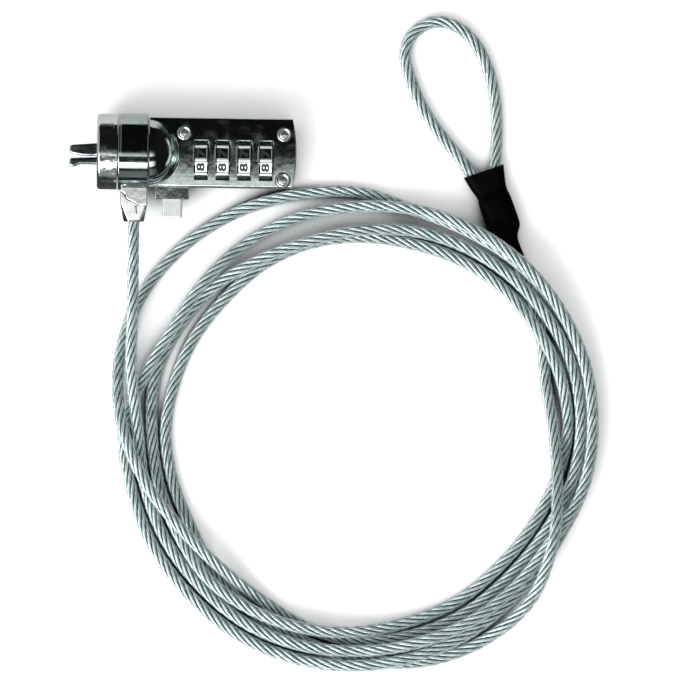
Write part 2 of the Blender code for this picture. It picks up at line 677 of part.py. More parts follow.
def make_cable(home):
    """The free lead, the wound cable and the eye loop."""
    coil = coil_points()
    gap = least_gap(coil)
    print(f"least gap of the wound cable to itself: {gap:.2f} mm")
    if gap < LEAST_GAP:
        raise ValueError("the wound cable comes too near to itself")
    paint(tube("cable_coil", coil, CABLE_RADIUS, 1, home), "cable_coil", ROPE)
    back = (coil[0] - coil[1]).normalized()
    lead_end = coil[0] + back * GAP
    lug = at(LUG_X, LUG_END, 0)
    route = [
        lug + Vector((0, SOCKET_DEPTH - GAP, 0)),
        lug + Vector((0, 3.5, 0)),
        lug,
        lug + Vector((0, -4.0, 0)),
        lug + Vector((0.05, -11.0, -0.15)),
        lug + Vector((0.05, -20.0, -0.6)),
        lug + Vector((0.0, -29.0, -1.1)),
        lead_end + back * 2 * CABLE_DIAMETER,
        lead_end + back * CABLE_DIAMETER,
        lead_end,
    ]
    lead = smooth_route(route, 2 * CABLE_DIAMETER)
    paint(tube("cable_lead", lead, CABLE_RADIUS, 2, home), "cable_lead", ROPE)
    eye = smooth_route([coil_at(*point) for point in EYE_ROUTE], 1.2 * CABLE_DIAMETER)
    paint(tube("eye_loop", eye, CABLE_RADIUS, 2, home), "eye_loop", ROPE)
    total = length_of(lead) + length_of(coil) + length_of(eye)
    print(f"cable: lead {length_of(lead):.0f}, wound {length_of(coil):.0f}, eye {length_of(eye):.0f} mm")
    print(f"cable in all: {total:.0f} mm, with {len(lead)}, {len(coil)} and {len(eye)} points")


def stadium(centre, across, width, thickness):
    """A flat oval of 20 points around a centre that lies half the thickness above the table."""
    radius = thickness / 2
    shift = width / 2 - radius
    ring = arc((shift, 0), radius, -90, 90, 9) + arc((-shift, 0), radius, 90, 270, 9)
    return [centre + across * u + Vector((0, 0, v)) for u, v in ring]


def oval_rings(sections):
    """Flat ovals square to a line of sections that rest on the table."""
    centres = [coil_at(x, y, thickness / 2) for x, y, _, thickness in sections]
    rings = []
    for index, (_, _, width, thickness) in enumerate(sections):
        ahead = centres[min(index + 1, len(centres) - 1)]
        behind = centres[max(index - 1, 0)]
        along = ahead - behind
        across = Vector((-along.y, along.x, 0.0)).normalized()
        rings.append(stadium(centres[index], across, width, thickness))
    return rings


def make_sleeve(home):
    """The shrink sleeve, open at both ends, and the ferrule inside it."""
    rings = oval_rings(SLEEVE_SECTIONS)
    bm = bmesh.new()
    loops = []
    for ring in rings:
        points = [bm.verts.new(point) for point in ring]
        loops.append([bm.edges.new(pair) for pair in zip(points, points[1:] + points[:1])])
    for first, second in zip(loops, loops[1:]):
        bmesh.ops.bridge_loops(bm, edges=first + second)
    sleeve = add_mesh("heat_shrink_sleeve", bm, home)
    wall = sleeve.modifiers.new("Wall", "SOLIDIFY")
    wall.thickness = SLEEVE_WALL * MM
    wall.offset = -1.0
    paint(sleeve, "heat_shrink_sleeve", BLACK)
    smooth(sleeve)
    lift = SLEEVE_SECTIONS[3][3] / 2
    start, end = coil_at(*FERRULE_START, lift), coil_at(*FERRULE_END, lift)
    along = (end - start).normalized()
    across = Vector((-along.y, along.x, 0.0))
    shapes = [
        stadium(start, across, FERRULE_WIDTH, FERRULE_THICKNESS),
        stadium(end, across, FERRULE_WIDTH, FERRULE_THICKNESS),
    ]
    ferrule = loft("crimp_ferrule", shapes, home)
    paint(ferrule, "crimp_ferrule", SATIN)


def main():
    clear_scene()
    home = collection("laptop_cable_lock")
    cutters = collection("cutters")
    make_housing(home, cutters)
    make_barrel(home, cutters)
    make_ring(home, cutters)
    make_jaws(home, cutters)
    make_dials(home, cutters)
    make_lockwork(home, cutters)
    make_cable(home)
    make_sleeve(home)
    bpy.context.view_layer.update()


main()
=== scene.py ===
"""The looks of a laptop cable lock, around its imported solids.

The lock's pieces are measured in millimetres from the housing's left end and the barrel's axis, and
the coil's in a frame of its own that is turned a little. Both are turned into metres in the world
where a point is made.
"""

import math

import bmesh
import bpy
import numpy as np
from mathutils import Matrix, Vector


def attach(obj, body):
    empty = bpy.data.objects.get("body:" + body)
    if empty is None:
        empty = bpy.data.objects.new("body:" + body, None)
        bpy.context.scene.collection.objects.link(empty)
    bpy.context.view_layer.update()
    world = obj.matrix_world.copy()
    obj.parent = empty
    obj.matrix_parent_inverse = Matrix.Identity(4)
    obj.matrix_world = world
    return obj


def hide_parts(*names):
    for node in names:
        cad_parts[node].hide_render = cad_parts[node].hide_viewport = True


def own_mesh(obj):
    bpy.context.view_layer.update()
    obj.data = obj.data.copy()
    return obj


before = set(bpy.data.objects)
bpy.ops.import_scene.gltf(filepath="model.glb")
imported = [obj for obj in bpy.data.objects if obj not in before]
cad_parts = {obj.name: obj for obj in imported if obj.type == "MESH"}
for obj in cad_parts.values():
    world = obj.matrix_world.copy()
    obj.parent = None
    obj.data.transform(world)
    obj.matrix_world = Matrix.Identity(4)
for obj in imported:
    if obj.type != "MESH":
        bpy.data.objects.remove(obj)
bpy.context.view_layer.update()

MM = 0.001
BARREL = Vector((-9.5, 4.45, 11.0))
# What the chrome reflects, by the angle from straight up towards +Y, in degrees.
ROOM_BANDS = [
    (-180, 0.10), (-110, 0.04), (-86, 0.02), (-83, 0.25), (-61, 0.20), (-60, 0.03), (-52, 0.03),
    (-50.5, 1.6), (-33, 1.6), (-31.5, 0.03), (-15, 0.03), (-13.5, 1.2), (-8, 1.0), (-5.5, 0.55),
    (-2.5, 0.10), (0, 0.02), (3, 0.006), (90, 0.004), (93, 0.75), (180, 0.55),
]
COIL_CENTRE = (51.1, -73.95)
PHOTO_TURN = math.radians(0.85)

JACKET_RADIUS = 1.75
STRAND_COUNT = 6
STRAND_RADIUS = 0.57
STRAND_CIRCLE = 1.14
LAY_LENGTH = 20.8
STRAND_SIDES = 8
JACKET_SIDES = 12
RING_STEP = 1.35

DIAL_Y = -2.06
DIAL_FIRST_X = 14.7
DIAL_PITCH = 6.17
DIAL_RADIUS = 6.75
DIAL_WIDTH = 3.4
RIVETS = {
    "rivet_top_left": (9.8, 5.6),
    "rivet_top_right": (38.3, 5.5),
    "rivet_bottom_right": (38.1, -7.5),
}

# The cable's route: each loop's radius and height above a strand on the table, at every 15 degrees
# of bearing, run anticlockwise.
FIRST_BEARING = 285
BEARING_STEP = 15
COIL_STATIONS = [
    (67.0, 7.3),
    (62.9, 4.0), (62.9, 0.0), (63.3, 0.0), (63.4, 0.0), (63.8, 2.0), (63.6, 4.0),
    (63.1, 4.1), (63.1, 5.7), (63.4, 5.1), (63.4, 3.6), (63.7, 3.9), (66.4, 4.2),
    (67.0, 4.4), (67.5, 4.4), (67.2, 6.4), (66.8, 9.2), (66.0, 7.3), (65.0, 4.6),
    (63.8, 3.4), (63.1, 1.6), (62.2, 1.5), (61.1, 3.9), (60.2, 4.2), (62.7, 2.9),
    (66.9, 0.0), (66.9, 0.0), (67.3, 0.0), (67.4, 0.0), (67.8, 0.0), (67.7, 1.0),
    (67.3, 4.0), (66.7, 4.0), (66.0, 1.8), (65.3, 0.0), (65.0, 0.0), (66.3, 0.0),
    (67.0, 0.0), (67.4, 0.0), (66.9, 2.3), (66.1, 5.2), (64.9, 3.4), (64.7, 0.6),
    (67.9, 0.0), (69.5, 0.0), (71.3, 0.0), (72.5, 0.0), (72.7, 0.0), (70.8, 2.5),
    (67.0, 6.4), (62.1, 5.4), (57.6, 5.2), (55.6, 4.3), (55.8, 0.7), (58.1, 0.0),
    (60.4, 0.0), (60.6, 0.0), (60.6, 0.0), (60.2, 0.0), (60.8, 0.0), (62.7, 1.7),
    (63.7, 2.2), (63.9, 2.2), (63.0, 4.0), (61.9, 4.2), (60.5, 2.5), (58.9, 2.6),
    (56.9, 3.7), (55.6, 4.0), (56.2, 3.7), (57.9, 1.4), (59.1, 0.0), (59.9, 0.0),
    (58.9, 0.0), (58.9, 0.0), (59.3, 1.0), (60.3, 3.8), (59.6, 4.0), (58.7, 4.6),
    (57.6, 3.2), (56.6, 1.2), (56.5, 0.0), (56.1, 0.0), (56.8, 0.0), (58.2, 0.0),
    (59.9, 0.0), (59.7, 3.3), (58.6, 4.2), (57.8, 1.0), (56.5, 0.0), (55.3, 0.0),
    (55.1, 0.0), (55.0, 0.0), (54.4, 0.0), (53.4, 0.0), (53.7, 0.0), (54.1, 0.0),
    (54.9, 0.0), (54.9, 0.0), (55.2, 0.0), (58.0, 0.0), (60.0, 0.0), (62.2, 0.0),
    (65.3, 0.0), (68.6, 0.0), (70.0, 0.0), (69.3, 4.2), (64.3, 8.5), (58.9, 5.2),
    (55.8, 2.1), (55.4, 0.0),
]
# Under the other loops and through the sleeve, in the coil's frame.
INTO_SLEEVE = [
    (52.9, 22.6, 1.75), (51.6, 30.9, 1.75), (49.3, 39.7, 1.85), (47.2, 44.6, 2.2),
    (45.3, 48.6, 2.35), (44.2, 51.4, 2.5), (43.17, 53.82, 2.75), (41.8, 57.12, 2.95),
    (38.7, 60.5, 2.95),
]
EYE_ROUTE = [
    (37.16, 64.93, 2.75), (35.99, 68.23, 2.6), (34.2, 71.2, 2.45), (31.8, 74.3, 2.4),
    (28.3, 78.7, 1.8), (24.2, 83.6, 1.75), (20.6, 88.6, 1.75), (17.4, 94.2, 1.75),
    (14.7, 101.2, 1.75), (13.4, 107.3, 1.75), (15.0, 112.4, 1.75), (18.9, 115.6, 1.75),
    (23.4, 116.7, 1.75), (28.0, 115.4, 1.75), (32.0, 112.3, 1.75), (35.2, 107.7, 1.75),
    (37.6, 101.7, 1.75), (39.1, 95.1, 1.75), (39.6, 88.3, 1.75), (39.6, 82.0, 1.8),
    (39.2, 75.6, 2.4), (39.2, 72.6, 2.45), (39.67, 69.53, 2.6), (40.84, 66.23, 2.75),
    (42.6, 60.8, 2.95),
]
SLEEVE_SECTIONS = [
    (35.9, 73.9, 12.0, 4.9), (36.95, 70.9, 10.6, 4.9), (38.3, 67.6, 8.9, 4.9),
    (39.0, 65.6, 9.4, 6.1), (41.0, 59.9, 9.6, 6.1), (42.0, 57.0, 9.0, 6.1),
    (43.0, 54.4, 5.6, 5.2), (44.2, 51.4, 4.9, 4.8), (45.2, 48.9, 5.0, 4.7),
]


# Places


def at(x, y, z):
    """A point given from the housing's left end and the barrel's axis, in metres in the world."""
    return (BARREL + Vector((x, y, z))) * MM


def coil_at(x, y, z):
    """A point given in the coil's frame, in metres in the world."""
    cos, sin = math.cos(PHOTO_TURN), math.sin(PHOTO_TURN)
    point = (COIL_CENTRE[0] + x * cos - y * sin, COIL_CENTRE[1] + x * sin + y * cos, z)
    return Vector(point) * MM


def arc(centre, radius, start, end, count):
    """Points on an arc between two angles in degrees."""
    angles = [math.radians(start + (end - start) * i / count) for i in range(count + 1)]
    return [(centre[0] + radius * math.cos(a), centre[1] + radius * math.sin(a)) for a in angles]


# Node groups


def add_node(tree, kind, **settings):
    """A node with its settings and the default values of its inputs."""
    made = tree.nodes.new(kind)
    for name, value in settings.items():
        if name in made.bl_rna.properties:
            setattr(made, name, value)
        else:
            made.inputs[name.replace("_", " ")].default_value = value
    return made


def new_group(name, inputs, outputs):
    """An empty shader node group with float or vector inputs and float outputs."""
    tree = bpy.data.node_groups.new(name, "ShaderNodeTree")
    for label, default in inputs:
        kind = "NodeSocketVector" if default is None else "NodeSocketFloat"
        made = tree.interface.new_socket(label, in_out="INPUT", socket_type=kind)
        if default is not None:
            made.default_value = default
    for label in outputs:
        tree.interface.new_socket(label, in_out="OUTPUT", socket_type="NodeSocketFloat")
    return tree, tree.nodes.new("NodeGroupInput"), tree.nodes.new("NodeGroupOutput")


def maths(tree, operation, first, second=None):
    """A Math node with each input a socket or a number."""
    node = tree.nodes.new("ShaderNodeMath")
    node.operation = operation
    for index, value in enumerate((first, second)):
        if isinstance(value, bpy.types.NodeSocket):
            tree.links.new(value, node.inputs[index])
        elif value is not None:
            node.inputs[index].default_value = value
    return node.outputs[0]


def ranged(tree, value, low, high, to_low=0.0, to_high=1.0):
    """A value taken from one range to another and held inside it."""
    node = add_node(tree, "ShaderNodeMapRange", clamp=True)
    tree.links.new(value, node.inputs["Value"])
    for label, number in (("From Min", low), ("From Max", high), ("To Min", to_low), ("To Max", to_high)):
        node.inputs[label].default_value = number
    return node.outputs["Result"]


def noise(tree, vector, scale, detail=3.0, stretch=(1, 1, 1)):
    """A noise value on a stretched vector."""
    mapping = add_node(tree, "ShaderNodeMapping")
    mapping.inputs["Scale"].default_value = stretch
    tree.links.new(vector, mapping.inputs["Vector"])
    texture = add_node(tree, "ShaderNodeTexNoise", Scale=scale, Detail=detail)
    tree.links.new(mapping.outputs["Vector"], texture.inputs["Vector"])
    return texture.outputs["Fac"]


def handling_wear():
    """Smears, fine scratches and small dents of a handled metal piece."""
    inputs = [("Vector", None), ("Smears", 0.3), ("Scratches", 0.3), ("Dents", 0.3)]
    tree, given, made = new_group("Handling wear", inputs, ["Smear", "Roughness", "Height"])
    place = given.outputs["Vector"]
    smear = ranged(tree, noise(tree, place, 260.0, 5.0), 0.45, 0.68)
    smear = maths(tree, "MULTIPLY", smear, given.outputs["Smears"])
    lines = ranged(tree, noise(tree, place, 900.0, 2.0, (0.06, 1.6, 1.0)), 0.60, 0.72)
    cross = ranged(tree, noise(tree, place, 700.0, 2.0, (1.5, 0.08, 1.0)), 0.63, 0.74)
    scratch = maths(tree, "MULTIPLY", maths(tree, "MAXIMUM", lines, cross), given.outputs["Scratches"])
    dent = maths(tree, "MULTIPLY", noise(tree, place, 420.0, 2.0), given.outputs["Dents"])
    grain = maths(tree, "MULTIPLY", noise(tree, place, 5200.0, 2.0), 0.015)
    rough = maths(tree, "ADD", maths(tree, "MULTIPLY", smear, 0.40), maths(tree, "MULTIPLY", scratch, 0.25))
    height = maths(tree, "SUBTRACT", maths(tree, "ADD", dent, grain), maths(tree, "MULTIPLY", scratch, 0.2))
    tree.links.new(smear, made.inputs["Smear"])
    tree.links.new(rough, made.inputs["Roughness"])
    tree.links.new(height, made.inputs["Height"])
    return tree


def wire_lay():
    """The wires on a strand's surface, from a map of turns round it and metres along it, with masks of painted shade
    in the grooves between the wires and on the strand's inner side.
    """
    inputs = [("Map", None), ("Wires", 6.0), ("Twists", 100.0)]
    tree, given, made = new_group("Wire lay", inputs, ["Wire", "Groove_shade", "Streak", "Depth"])
    split = tree.nodes.new("ShaderNodeSeparateXYZ")
    tree.links.new(given.outputs["Map"], split.inputs["Vector"])
    around = maths(tree, "MULTIPLY", split.outputs["X"], given.outputs["Wires"])
    turns = maths(tree, "MULTIPLY", split.outputs["Y"], given.outputs["Twists"])
    turns = maths(tree, "MULTIPLY", turns, given.outputs["Wires"])
    phase = maths(tree, "FRACT", maths(tree, "ADD", around, turns))
    side = maths(tree, "ABSOLUTE", maths(tree, "SUBTRACT", phase, 0.5))
    across = maths(tree, "POWER", maths(tree, "MULTIPLY", side, 1.98), 2.0)
    wire = maths(tree, "SQRT", maths(tree, "SUBTRACT", 1.0, across))
    # Painted shade: a mask that darkens the grooves between the wires.
    groove_shade = ranged(tree, side, 0.22, 0.46)
    facing = maths(tree, "COSINE", maths(tree, "MULTIPLY", split.outputs["X"], math.tau))
    # Painted shade: a mask that darkens the strand's sides and the half turned in towards the rope's core, between
    # the strands.
    depth = ranged(tree, facing, 0.48, 0.04)
    streak = noise(tree, given.outputs["Map"], 1.0, 3.0, (3.0, 420.0, 1.0))
    tree.links.new(wire, made.inputs["Wire"])
    tree.links.new(groove_shade, made.inputs["Groove_shade"])
    tree.links.new(streak, made.inputs["Streak"])
    tree.links.new(depth, made.inputs["Depth"])
    return tree


HANDLING_WEAR = handling_wear()
WIRE_LAY = wire_lay()


# Materials


def blank_material(name, colour, roughness, metallic):
    """A material with its Principled shader."""
    material = bpy.data.materials.new(name)
    material.use_nodes = True
    shader = material.node_tree.nodes["Principled BSDF"]
    shader.inputs["Base Color"].default_value = (*colour, 1.0)
    shader.inputs["Roughness"].default_value = roughness
    shader.inputs["Metallic"].default_value = metallic
    material.diffuse_color = (*colour, 1.0)
    return material, material.node_tree, shader


def falling_away(tree, place, start, width, slope):
    """The height of a face that bends down towards -Y from a start, then falls at an even slope."""
    split = tree.nodes.new("ShaderNodeSeparateXYZ")
    tree.links.new(place, split.inputs["Vector"])
    past = maths(tree, "SUBTRACT", start, split.outputs["Y"])
    bent = maths(tree, "MINIMUM", maths(tree, "MAXIMUM", past, 0.0), width)
    bend = maths(tree, "MULTIPLY", maths(tree, "POWER", bent, 2.0), 0.5 / width)
    even = maths(tree, "MAXIMUM", maths(tree, "SUBTRACT", past, width), 0.0)
    return maths(tree, "MULTIPLY", maths(tree, "ADD", bend, even), -slope)


def worn(name, colour, roughness, smears, scratches, dents, metallic=1.0, bump=0.00002, slope=0.0):
    """A handled surface: its colour and gloss change with smears, scratches and small dents."""
    material, tree, shader = blank_material(name, colour, roughness, metallic)
    place = add_node(tree, "ShaderNodeTexCoord")
    wear = add_node(tree, "ShaderNodeGroup")
    wear.node_tree = HANDLING_WEAR
    tree.links.new(place.outputs["Object"], wear.inputs["Vector"])
    for label, value in (("Smears", smears), ("Scratches", scratches), ("Dents", dents)):
        wear.inputs[label].default_value = value
    mix = add_node(tree, "ShaderNodeMix", data_type="RGBA")
    mix.inputs["A"].default_value = (*colour, 1.0)
    mix.inputs["B"].default_value = (*(value * 0.55 for value in colour), 1.0)
    tree.links.new(wear.outputs["Smear"], mix.inputs["Factor"])
    tree.links.new(mix.outputs["Result"], shader.inputs["Base Color"])
    rough = maths(tree, "ADD", wear.outputs["Roughness"], roughness)
    tree.links.new(rough, shader.inputs["Roughness"])
    relief = add_node(tree, "ShaderNodeBump", Strength=1.0, Distance=bump)
    height = wear.outputs["Height"]
    if slope:
        fall = falling_away(tree, place.outputs["Object"], BARREL[1] * MM, 0.006, slope / bump)
        height = maths(tree, "ADD", height, fall)
    tree.links.new(height, relief.inputs["Height"])
    tree.links.new(relief.outputs["Normal"], shader.inputs["Normal"])
    return material


def rope_steel():
    """Galvanised wires, with painted shade in the grooves between the wires and between the strands."""
    material, tree, shader = blank_material("rope_steel", (0.55, 0.64, 0.63), 0.35, 0.5)
    place = add_node(tree, "ShaderNodeTexCoord")
    lay = add_node(tree, "ShaderNodeGroup")
    lay.node_tree = WIRE_LAY
    tree.links.new(place.outputs["UV"], lay.inputs["Map"])
    bright = add_node(tree, "ShaderNodeMix", data_type="RGBA")
    bright.inputs["A"].default_value = (0.44, 0.60, 0.59, 1.0)
    bright.inputs["B"].default_value = (0.86, 1.0, 1.0, 1.0)
    tree.links.new(ranged(tree, lay.outputs["Streak"], 0.35, 0.65), bright.inputs["Factor"])
    # Painted shade: near-black teal mixed into the colour by the groove and strand shade masks.
    mix = add_node(tree, "ShaderNodeMix", data_type="RGBA")
    mix.inputs["B"].default_value = (0.004, 0.014, 0.015, 1.0)
    tree.links.new(bright.outputs["Result"], mix.inputs["A"])
    shade = maths(tree, "MAXIMUM", maths(tree, "MULTIPLY", lay.outputs["Groove_shade"], 0.75), lay.outputs["Depth"])
    tree.links.new(shade, mix.inputs["Factor"])
    tree.links.new(mix.outputs["Result"], shader.inputs["Base Color"])
    rough = ranged(tree, lay.outputs["Streak"], 0.3, 0.7, 0.28, 0.48)
    tree.links.new(rough, shader.inputs["Roughness"])
    relief = add_node(tree, "ShaderNodeBump", Strength=0.7, Distance=0.00012)
    tree.links.new(lay.outputs["Wire"], relief.inputs["Height"])
    tree.links.new(relief.outputs["Normal"], shader.inputs["Normal"])
    return material


def clear_jacket():
    """A thin clear plastic skin, milky at its edges."""
    material, tree, shader = blank_material("clear_jacket", (0.86, 0.90, 0.90), 0.18, 0.0)
    shader.inputs["IOR"].default_value = 1.5
    edge = add_node(tree, "ShaderNodeLayerWeight", Blend=0.35)
    place = add_node(tree, "ShaderNodeTexCoord")
    haze = noise(tree, place.outputs["Object"], 900.0, 3.0)
    milky = maths(tree, "MULTIPLY", maths(tree, "POWER", edge.outputs["Facing"], 2.0), 0.3)
    alpha = maths(tree, "ADD", milky, ranged(tree, haze, 0.3, 0.7, 0.0, 0.03))
    tree.links.new(alpha, shader.inputs["Alpha"])
    tree.links.new(ranged(tree, haze, 0.3, 0.7, 0.12, 0.30), shader.inputs["Roughness"])
    return material


def shrink_tube():
    """Matte black shrink tube with a faint pebbled skin."""
    material, tree, shader = blank_material("black_shrink_tube", (0.004, 0.004, 0.004), 0.6, 0.0)
    shader.inputs["Specular IOR Level"].default_value = 0.05
    place = add_node(tree, "ShaderNodeTexCoord")
    skin = noise(tree, place.outputs["Object"], 1500.0, 4.0)
    patch = noise(tree, place.outputs["Object"], 220.0, 3.0)
    mix = add_node(tree, "ShaderNodeMix", data_type="RGBA")
    mix.inputs["A"].default_value = (0.0, 0.0, 0.0, 1.0)
    mix.inputs["B"].default_value = (0.0008, 0.0008, 0.0008, 1.0)
    tree.links.new(patch, mix.inputs["Factor"])
    tree.links.new(mix.outputs["Result"], shader.inputs["Base Color"])
    tree.links.new(ranged(tree, patch, 0.3, 0.7, 0.5, 0.68), shader.inputs["Roughness"])
    relief = add_node(tree, "ShaderNodeBump", Strength=0.4, Distance=0.00004)
    tree.links.new(skin, relief.inputs["Height"])
    tree.links.new(relief.outputs["Normal"], shader.inputs["Normal"])
    return material


TEAL_CHROME = (0.60, 0.68, 0.67)
POLISHED = worn("polished_chrome", (0.48, 0.57, 0.56), 0.06, 0.25, 0.25, 0.35)
CASE_CHROME = worn("case_chrome", TEAL_CHROME, 0.06, 0.38, 0.12, 1.4, bump=0.00003, slope=0.022)
CAP_CHROME = worn("cap_chrome", (0.76, 0.82, 0.81), 0.14, 0.25, 0.5, 5.0, bump=0.00003)
DIAL_CHROME = worn("dial_chrome", (0.74, 0.79, 0.79), 0.12, 0.3, 0.4, 0.4)
JAW_CHROME = worn("jaw_chrome", (0.42, 0.50, 0.50), 0.10, 0.3, 0.4, 0.8)
RIVET_STEEL = worn("rivet_steel", (0.66, 0.72, 0.72), 0.18, 0.4, 0.6, 2.0, metallic=0.92, bump=0.00005)
BUTTON_STEEL = worn("button_satin", (0.80, 0.84, 0.83), 0.40, 0.35, 0.6, 6.0, metallic=0.55)
LUG_ZINC = worn("crimped_zinc", (0.92, 0.95, 0.95), 0.09, 0.15, 0.5, 1.2, bump=0.00003)
PLAIN_STEEL = worn("plain_steel", (0.30, 0.31, 0.32), 0.28, 0.4, 0.5, 0.6)
SPRING_STEEL = worn("spring_wire", (0.45, 0.47, 0.48), 0.25, 0.3, 0.5, 0.3)
BRASS = worn("plain_brass", (0.72, 0.56, 0.28), 0.25, 0.5, 0.4, 0.5)
FERRULE_METAL = worn("pressed_aluminium", (0.66, 0.67, 0.68), 0.35, 0.4, 0.5, 1.0)
RIDGE_STEEL = worn("worn_ridges", (0.80, 0.84, 0.84), 0.40, 0.4, 0.5, 0.6, metallic=0.35)
NUMBER_INK = worn("number_ink", (0.022, 0.024, 0.024), 0.55, 0.4, 0.3, 0.5, metallic=0.0)
ROPE_STEEL = rope_steel()
CLEAR_JACKET = clear_jacket()
SHRINK_TUBE = shrink_tube()


# Pieces


def link(obj):
    """Put an object in the scene."""
    bpy.context.scene.collection.objects.link(obj)
    return obj


def solid(name, bm):
    """An object in the scene from a bmesh in metres."""
    bmesh.ops.remove_doubles(bm, verts=bm.verts, dist=1e-7)
    bmesh.ops.recalc_face_normals(bm, faces=bm.faces)
    mesh = bpy.data.meshes.new(name)
    bm.to_mesh(mesh)
    bm.free()
    return link(bpy.data.objects.new(name, mesh))


def carve(obj, *steps):
    """Apply exact Booleans, each an operation and its tool, and remove the tools."""
    for operation, tool in steps:
        modifier = obj.modifiers.new(tool.name, "BOOLEAN")
        modifier.operation = operation
        modifier.solver = "EXACT"
        modifier.object = tool
    settle(obj)
    for tool in {tool for _, tool in steps}:
        bpy.data.objects.remove(tool, do_unlink=True)
    return obj


def settle(obj):
    """Apply all of an object's modifiers."""
    bpy.context.view_layer.update()
    graph = bpy.context.evaluated_depsgraph_get()
    mesh = bpy.data.meshes.new_from_object(obj.evaluated_get(graph))
    obj.modifiers.clear()
    obj.data = mesh


def dress(obj, material, body, slot, *nodes, angle=32):
    """Finish a piece: its material, its shading, the body that it rides on and what it stands for."""
    obj.data.materials.clear()
    obj.data.materials.append(material)
    obj.data.shade_smooth()
    obj.data.set_sharp_from_angle(angle=math.radians(angle))
    weigh = obj.modifiers.new("Even shading", "WEIGHTED_NORMAL")
    weigh.keep_sharp = True
    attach(obj, body)
    if nodes:
        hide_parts(*nodes)
    return obj


def soften(bm, width, segments=3, angle=40, keep=None, clamp=True):
    """Round the edges that are sharper than an angle, or those of them that keep() picks."""
    edges = [
        edge
        for edge in bm.edges
        if edge.is_manifold
        and edge.calc_face_angle() > math.radians(angle)
        and (keep is None or keep(edge))
    ]
    bmesh.ops.bevel(
        bm,
        geom=edges,
        offset=width * MM,
        offset_type="OFFSET",
        segments=segments,
        profile=0.5,
        affect="EDGES",
        material=-1,
        clamp_overlap=clamp,
    )


def block(low, high):
    """A bmesh box between two corners given in the housing's frame."""
    low, high = at(*low), at(*high)
    bm = bmesh.new()
    bmesh.ops.create_cube(bm, size=1.0)
    bmesh.ops.scale(bm, vec=high - low, verts=bm.verts)
    bmesh.ops.translate(bm, vec=(low + high) / 2, verts=bm.verts)
    return bm


AXIS_TURNS = {
    "X": Matrix.Rotation(math.radians(90), 3, "Y"),
    "Y": Matrix.Rotation(math.radians(-90), 3, "X"),
    "Z": Matrix.Identity(3),
}


def rod(start, length, radius, axis, sides=48, end_radius=None):
    """A bmesh cylinder or cone from a point of the housing's frame along an axis."""
    bm = bmesh.new()
    bmesh.ops.create_cone(
        bm,
        cap_ends=True,
        segments=sides,
        radius1=radius * MM,
        radius2=(radius if end_radius is None else end_radius) * MM,
        depth=length * MM,
    )
    bmesh.ops.translate(bm, vec=(0, 0, length / 2 * MM), verts=bm.verts)
    bmesh.ops.rotate(bm, matrix=AXIS_TURNS[axis], verts=bm.verts)
    bmesh.ops.translate(bm, vec=at(*start), verts=bm.verts)
    return bm


def spun(profile, centre, axis="X", steps=128, start=0.0, angle=360.0, closed=True):
    """A profile of (radius, place along the axis) points spun round an axis."""
    bm = bmesh.new()
    points = [bm.verts.new((radius * MM, 0.0, height * MM)) for radius, height in profile]
    pairs = list(zip(points, points[1:]))
    if closed:
        pairs.append((points[-1], points[0]))
    edges = [bm.edges.new(pair) for pair in pairs]
    bmesh.ops.rotate(bm, matrix=Matrix.Rotation(math.radians(start), 3, "Z"), verts=points)
    full = angle >= 360
    made = bmesh.ops.spin(
        bm,
        geom=points + edges,
        cent=(0, 0, 0),
        axis=(0, 0, 1),
        dvec=(0, 0, 0),
        angle=math.radians(angle),
        steps=steps,
        use_merge=full,
    )
    if not full:
        last = [part for part in made["geom_last"] if isinstance(part, bmesh.types.BMEdge)]
        bmesh.ops.edgeloop_fill(bm, edges=edges)
        bmesh.ops.edgeloop_fill(bm, edges=last)
    bmesh.ops.rotate(bm, matrix=AXIS_TURNS[axis], verts=bm.verts)
    bmesh.ops.translate(bm, vec=at(*centre), verts=bm.verts)
    return bm


def prism(outline, low, high, axis):
    """A flat outline extruded along X (its points are y, z) or Z (its points are x, y)."""
    bm = bmesh.new()
    if axis == "X":
        start, along = [at(low, u, v) for u, v in outline], Vector((high - low, 0, 0)) * MM
    else:
        start, along = [at(u, v, low) for u, v in outline], Vector((0, 0, high - low)) * MM
    face = bm.faces.new([bm.verts.new(point) for point in start])
    made = bmesh.ops.extrude_face_region(bm, geom=[face])
    moved = [part for part in made["geom"] if isinstance(part, bmesh.types.BMVert)]
    bmesh.ops.translate(bm, vec=along, verts=moved)
    bmesh.ops.recalc_face_normals(bm, faces=bm.faces)
    return bm


# Cable


def smooth_route(points, spacing):
    """Points at even spacing on a smooth curve through the given ones."""
    fine = []
    padded = [points[0] * 2 - points[1]] + points + [points[-1] * 2 - points[-2]]
    for before, start, end, after in zip(padded, padded[1:], padded[2:], padded[3:]):
        for step in range(16):
            t = step / 16
            leave = (end - before) * (t - 2 * t**2 + t**3) / 2
            arrive = (after - start) * (t**3 - t**2) / 2
            fine.append(start + (end - start) * (3 * t**2 - 2 * t**3) + leave + arrive)
    fine = np.array([tuple(point) for point in fine + [points[-1]]])
    along = np.concatenate([[0.0], np.cumsum(np.linalg.norm(np.diff(fine, axis=0), axis=1))])
    count = round(along[-1] / (spacing * MM))
    places = np.linspace(0.0, along[-1], count + 1)
    route = np.stack([np.interp(places, along, fine[:, axis]) for axis in range(3)], axis=1)
    return route, places


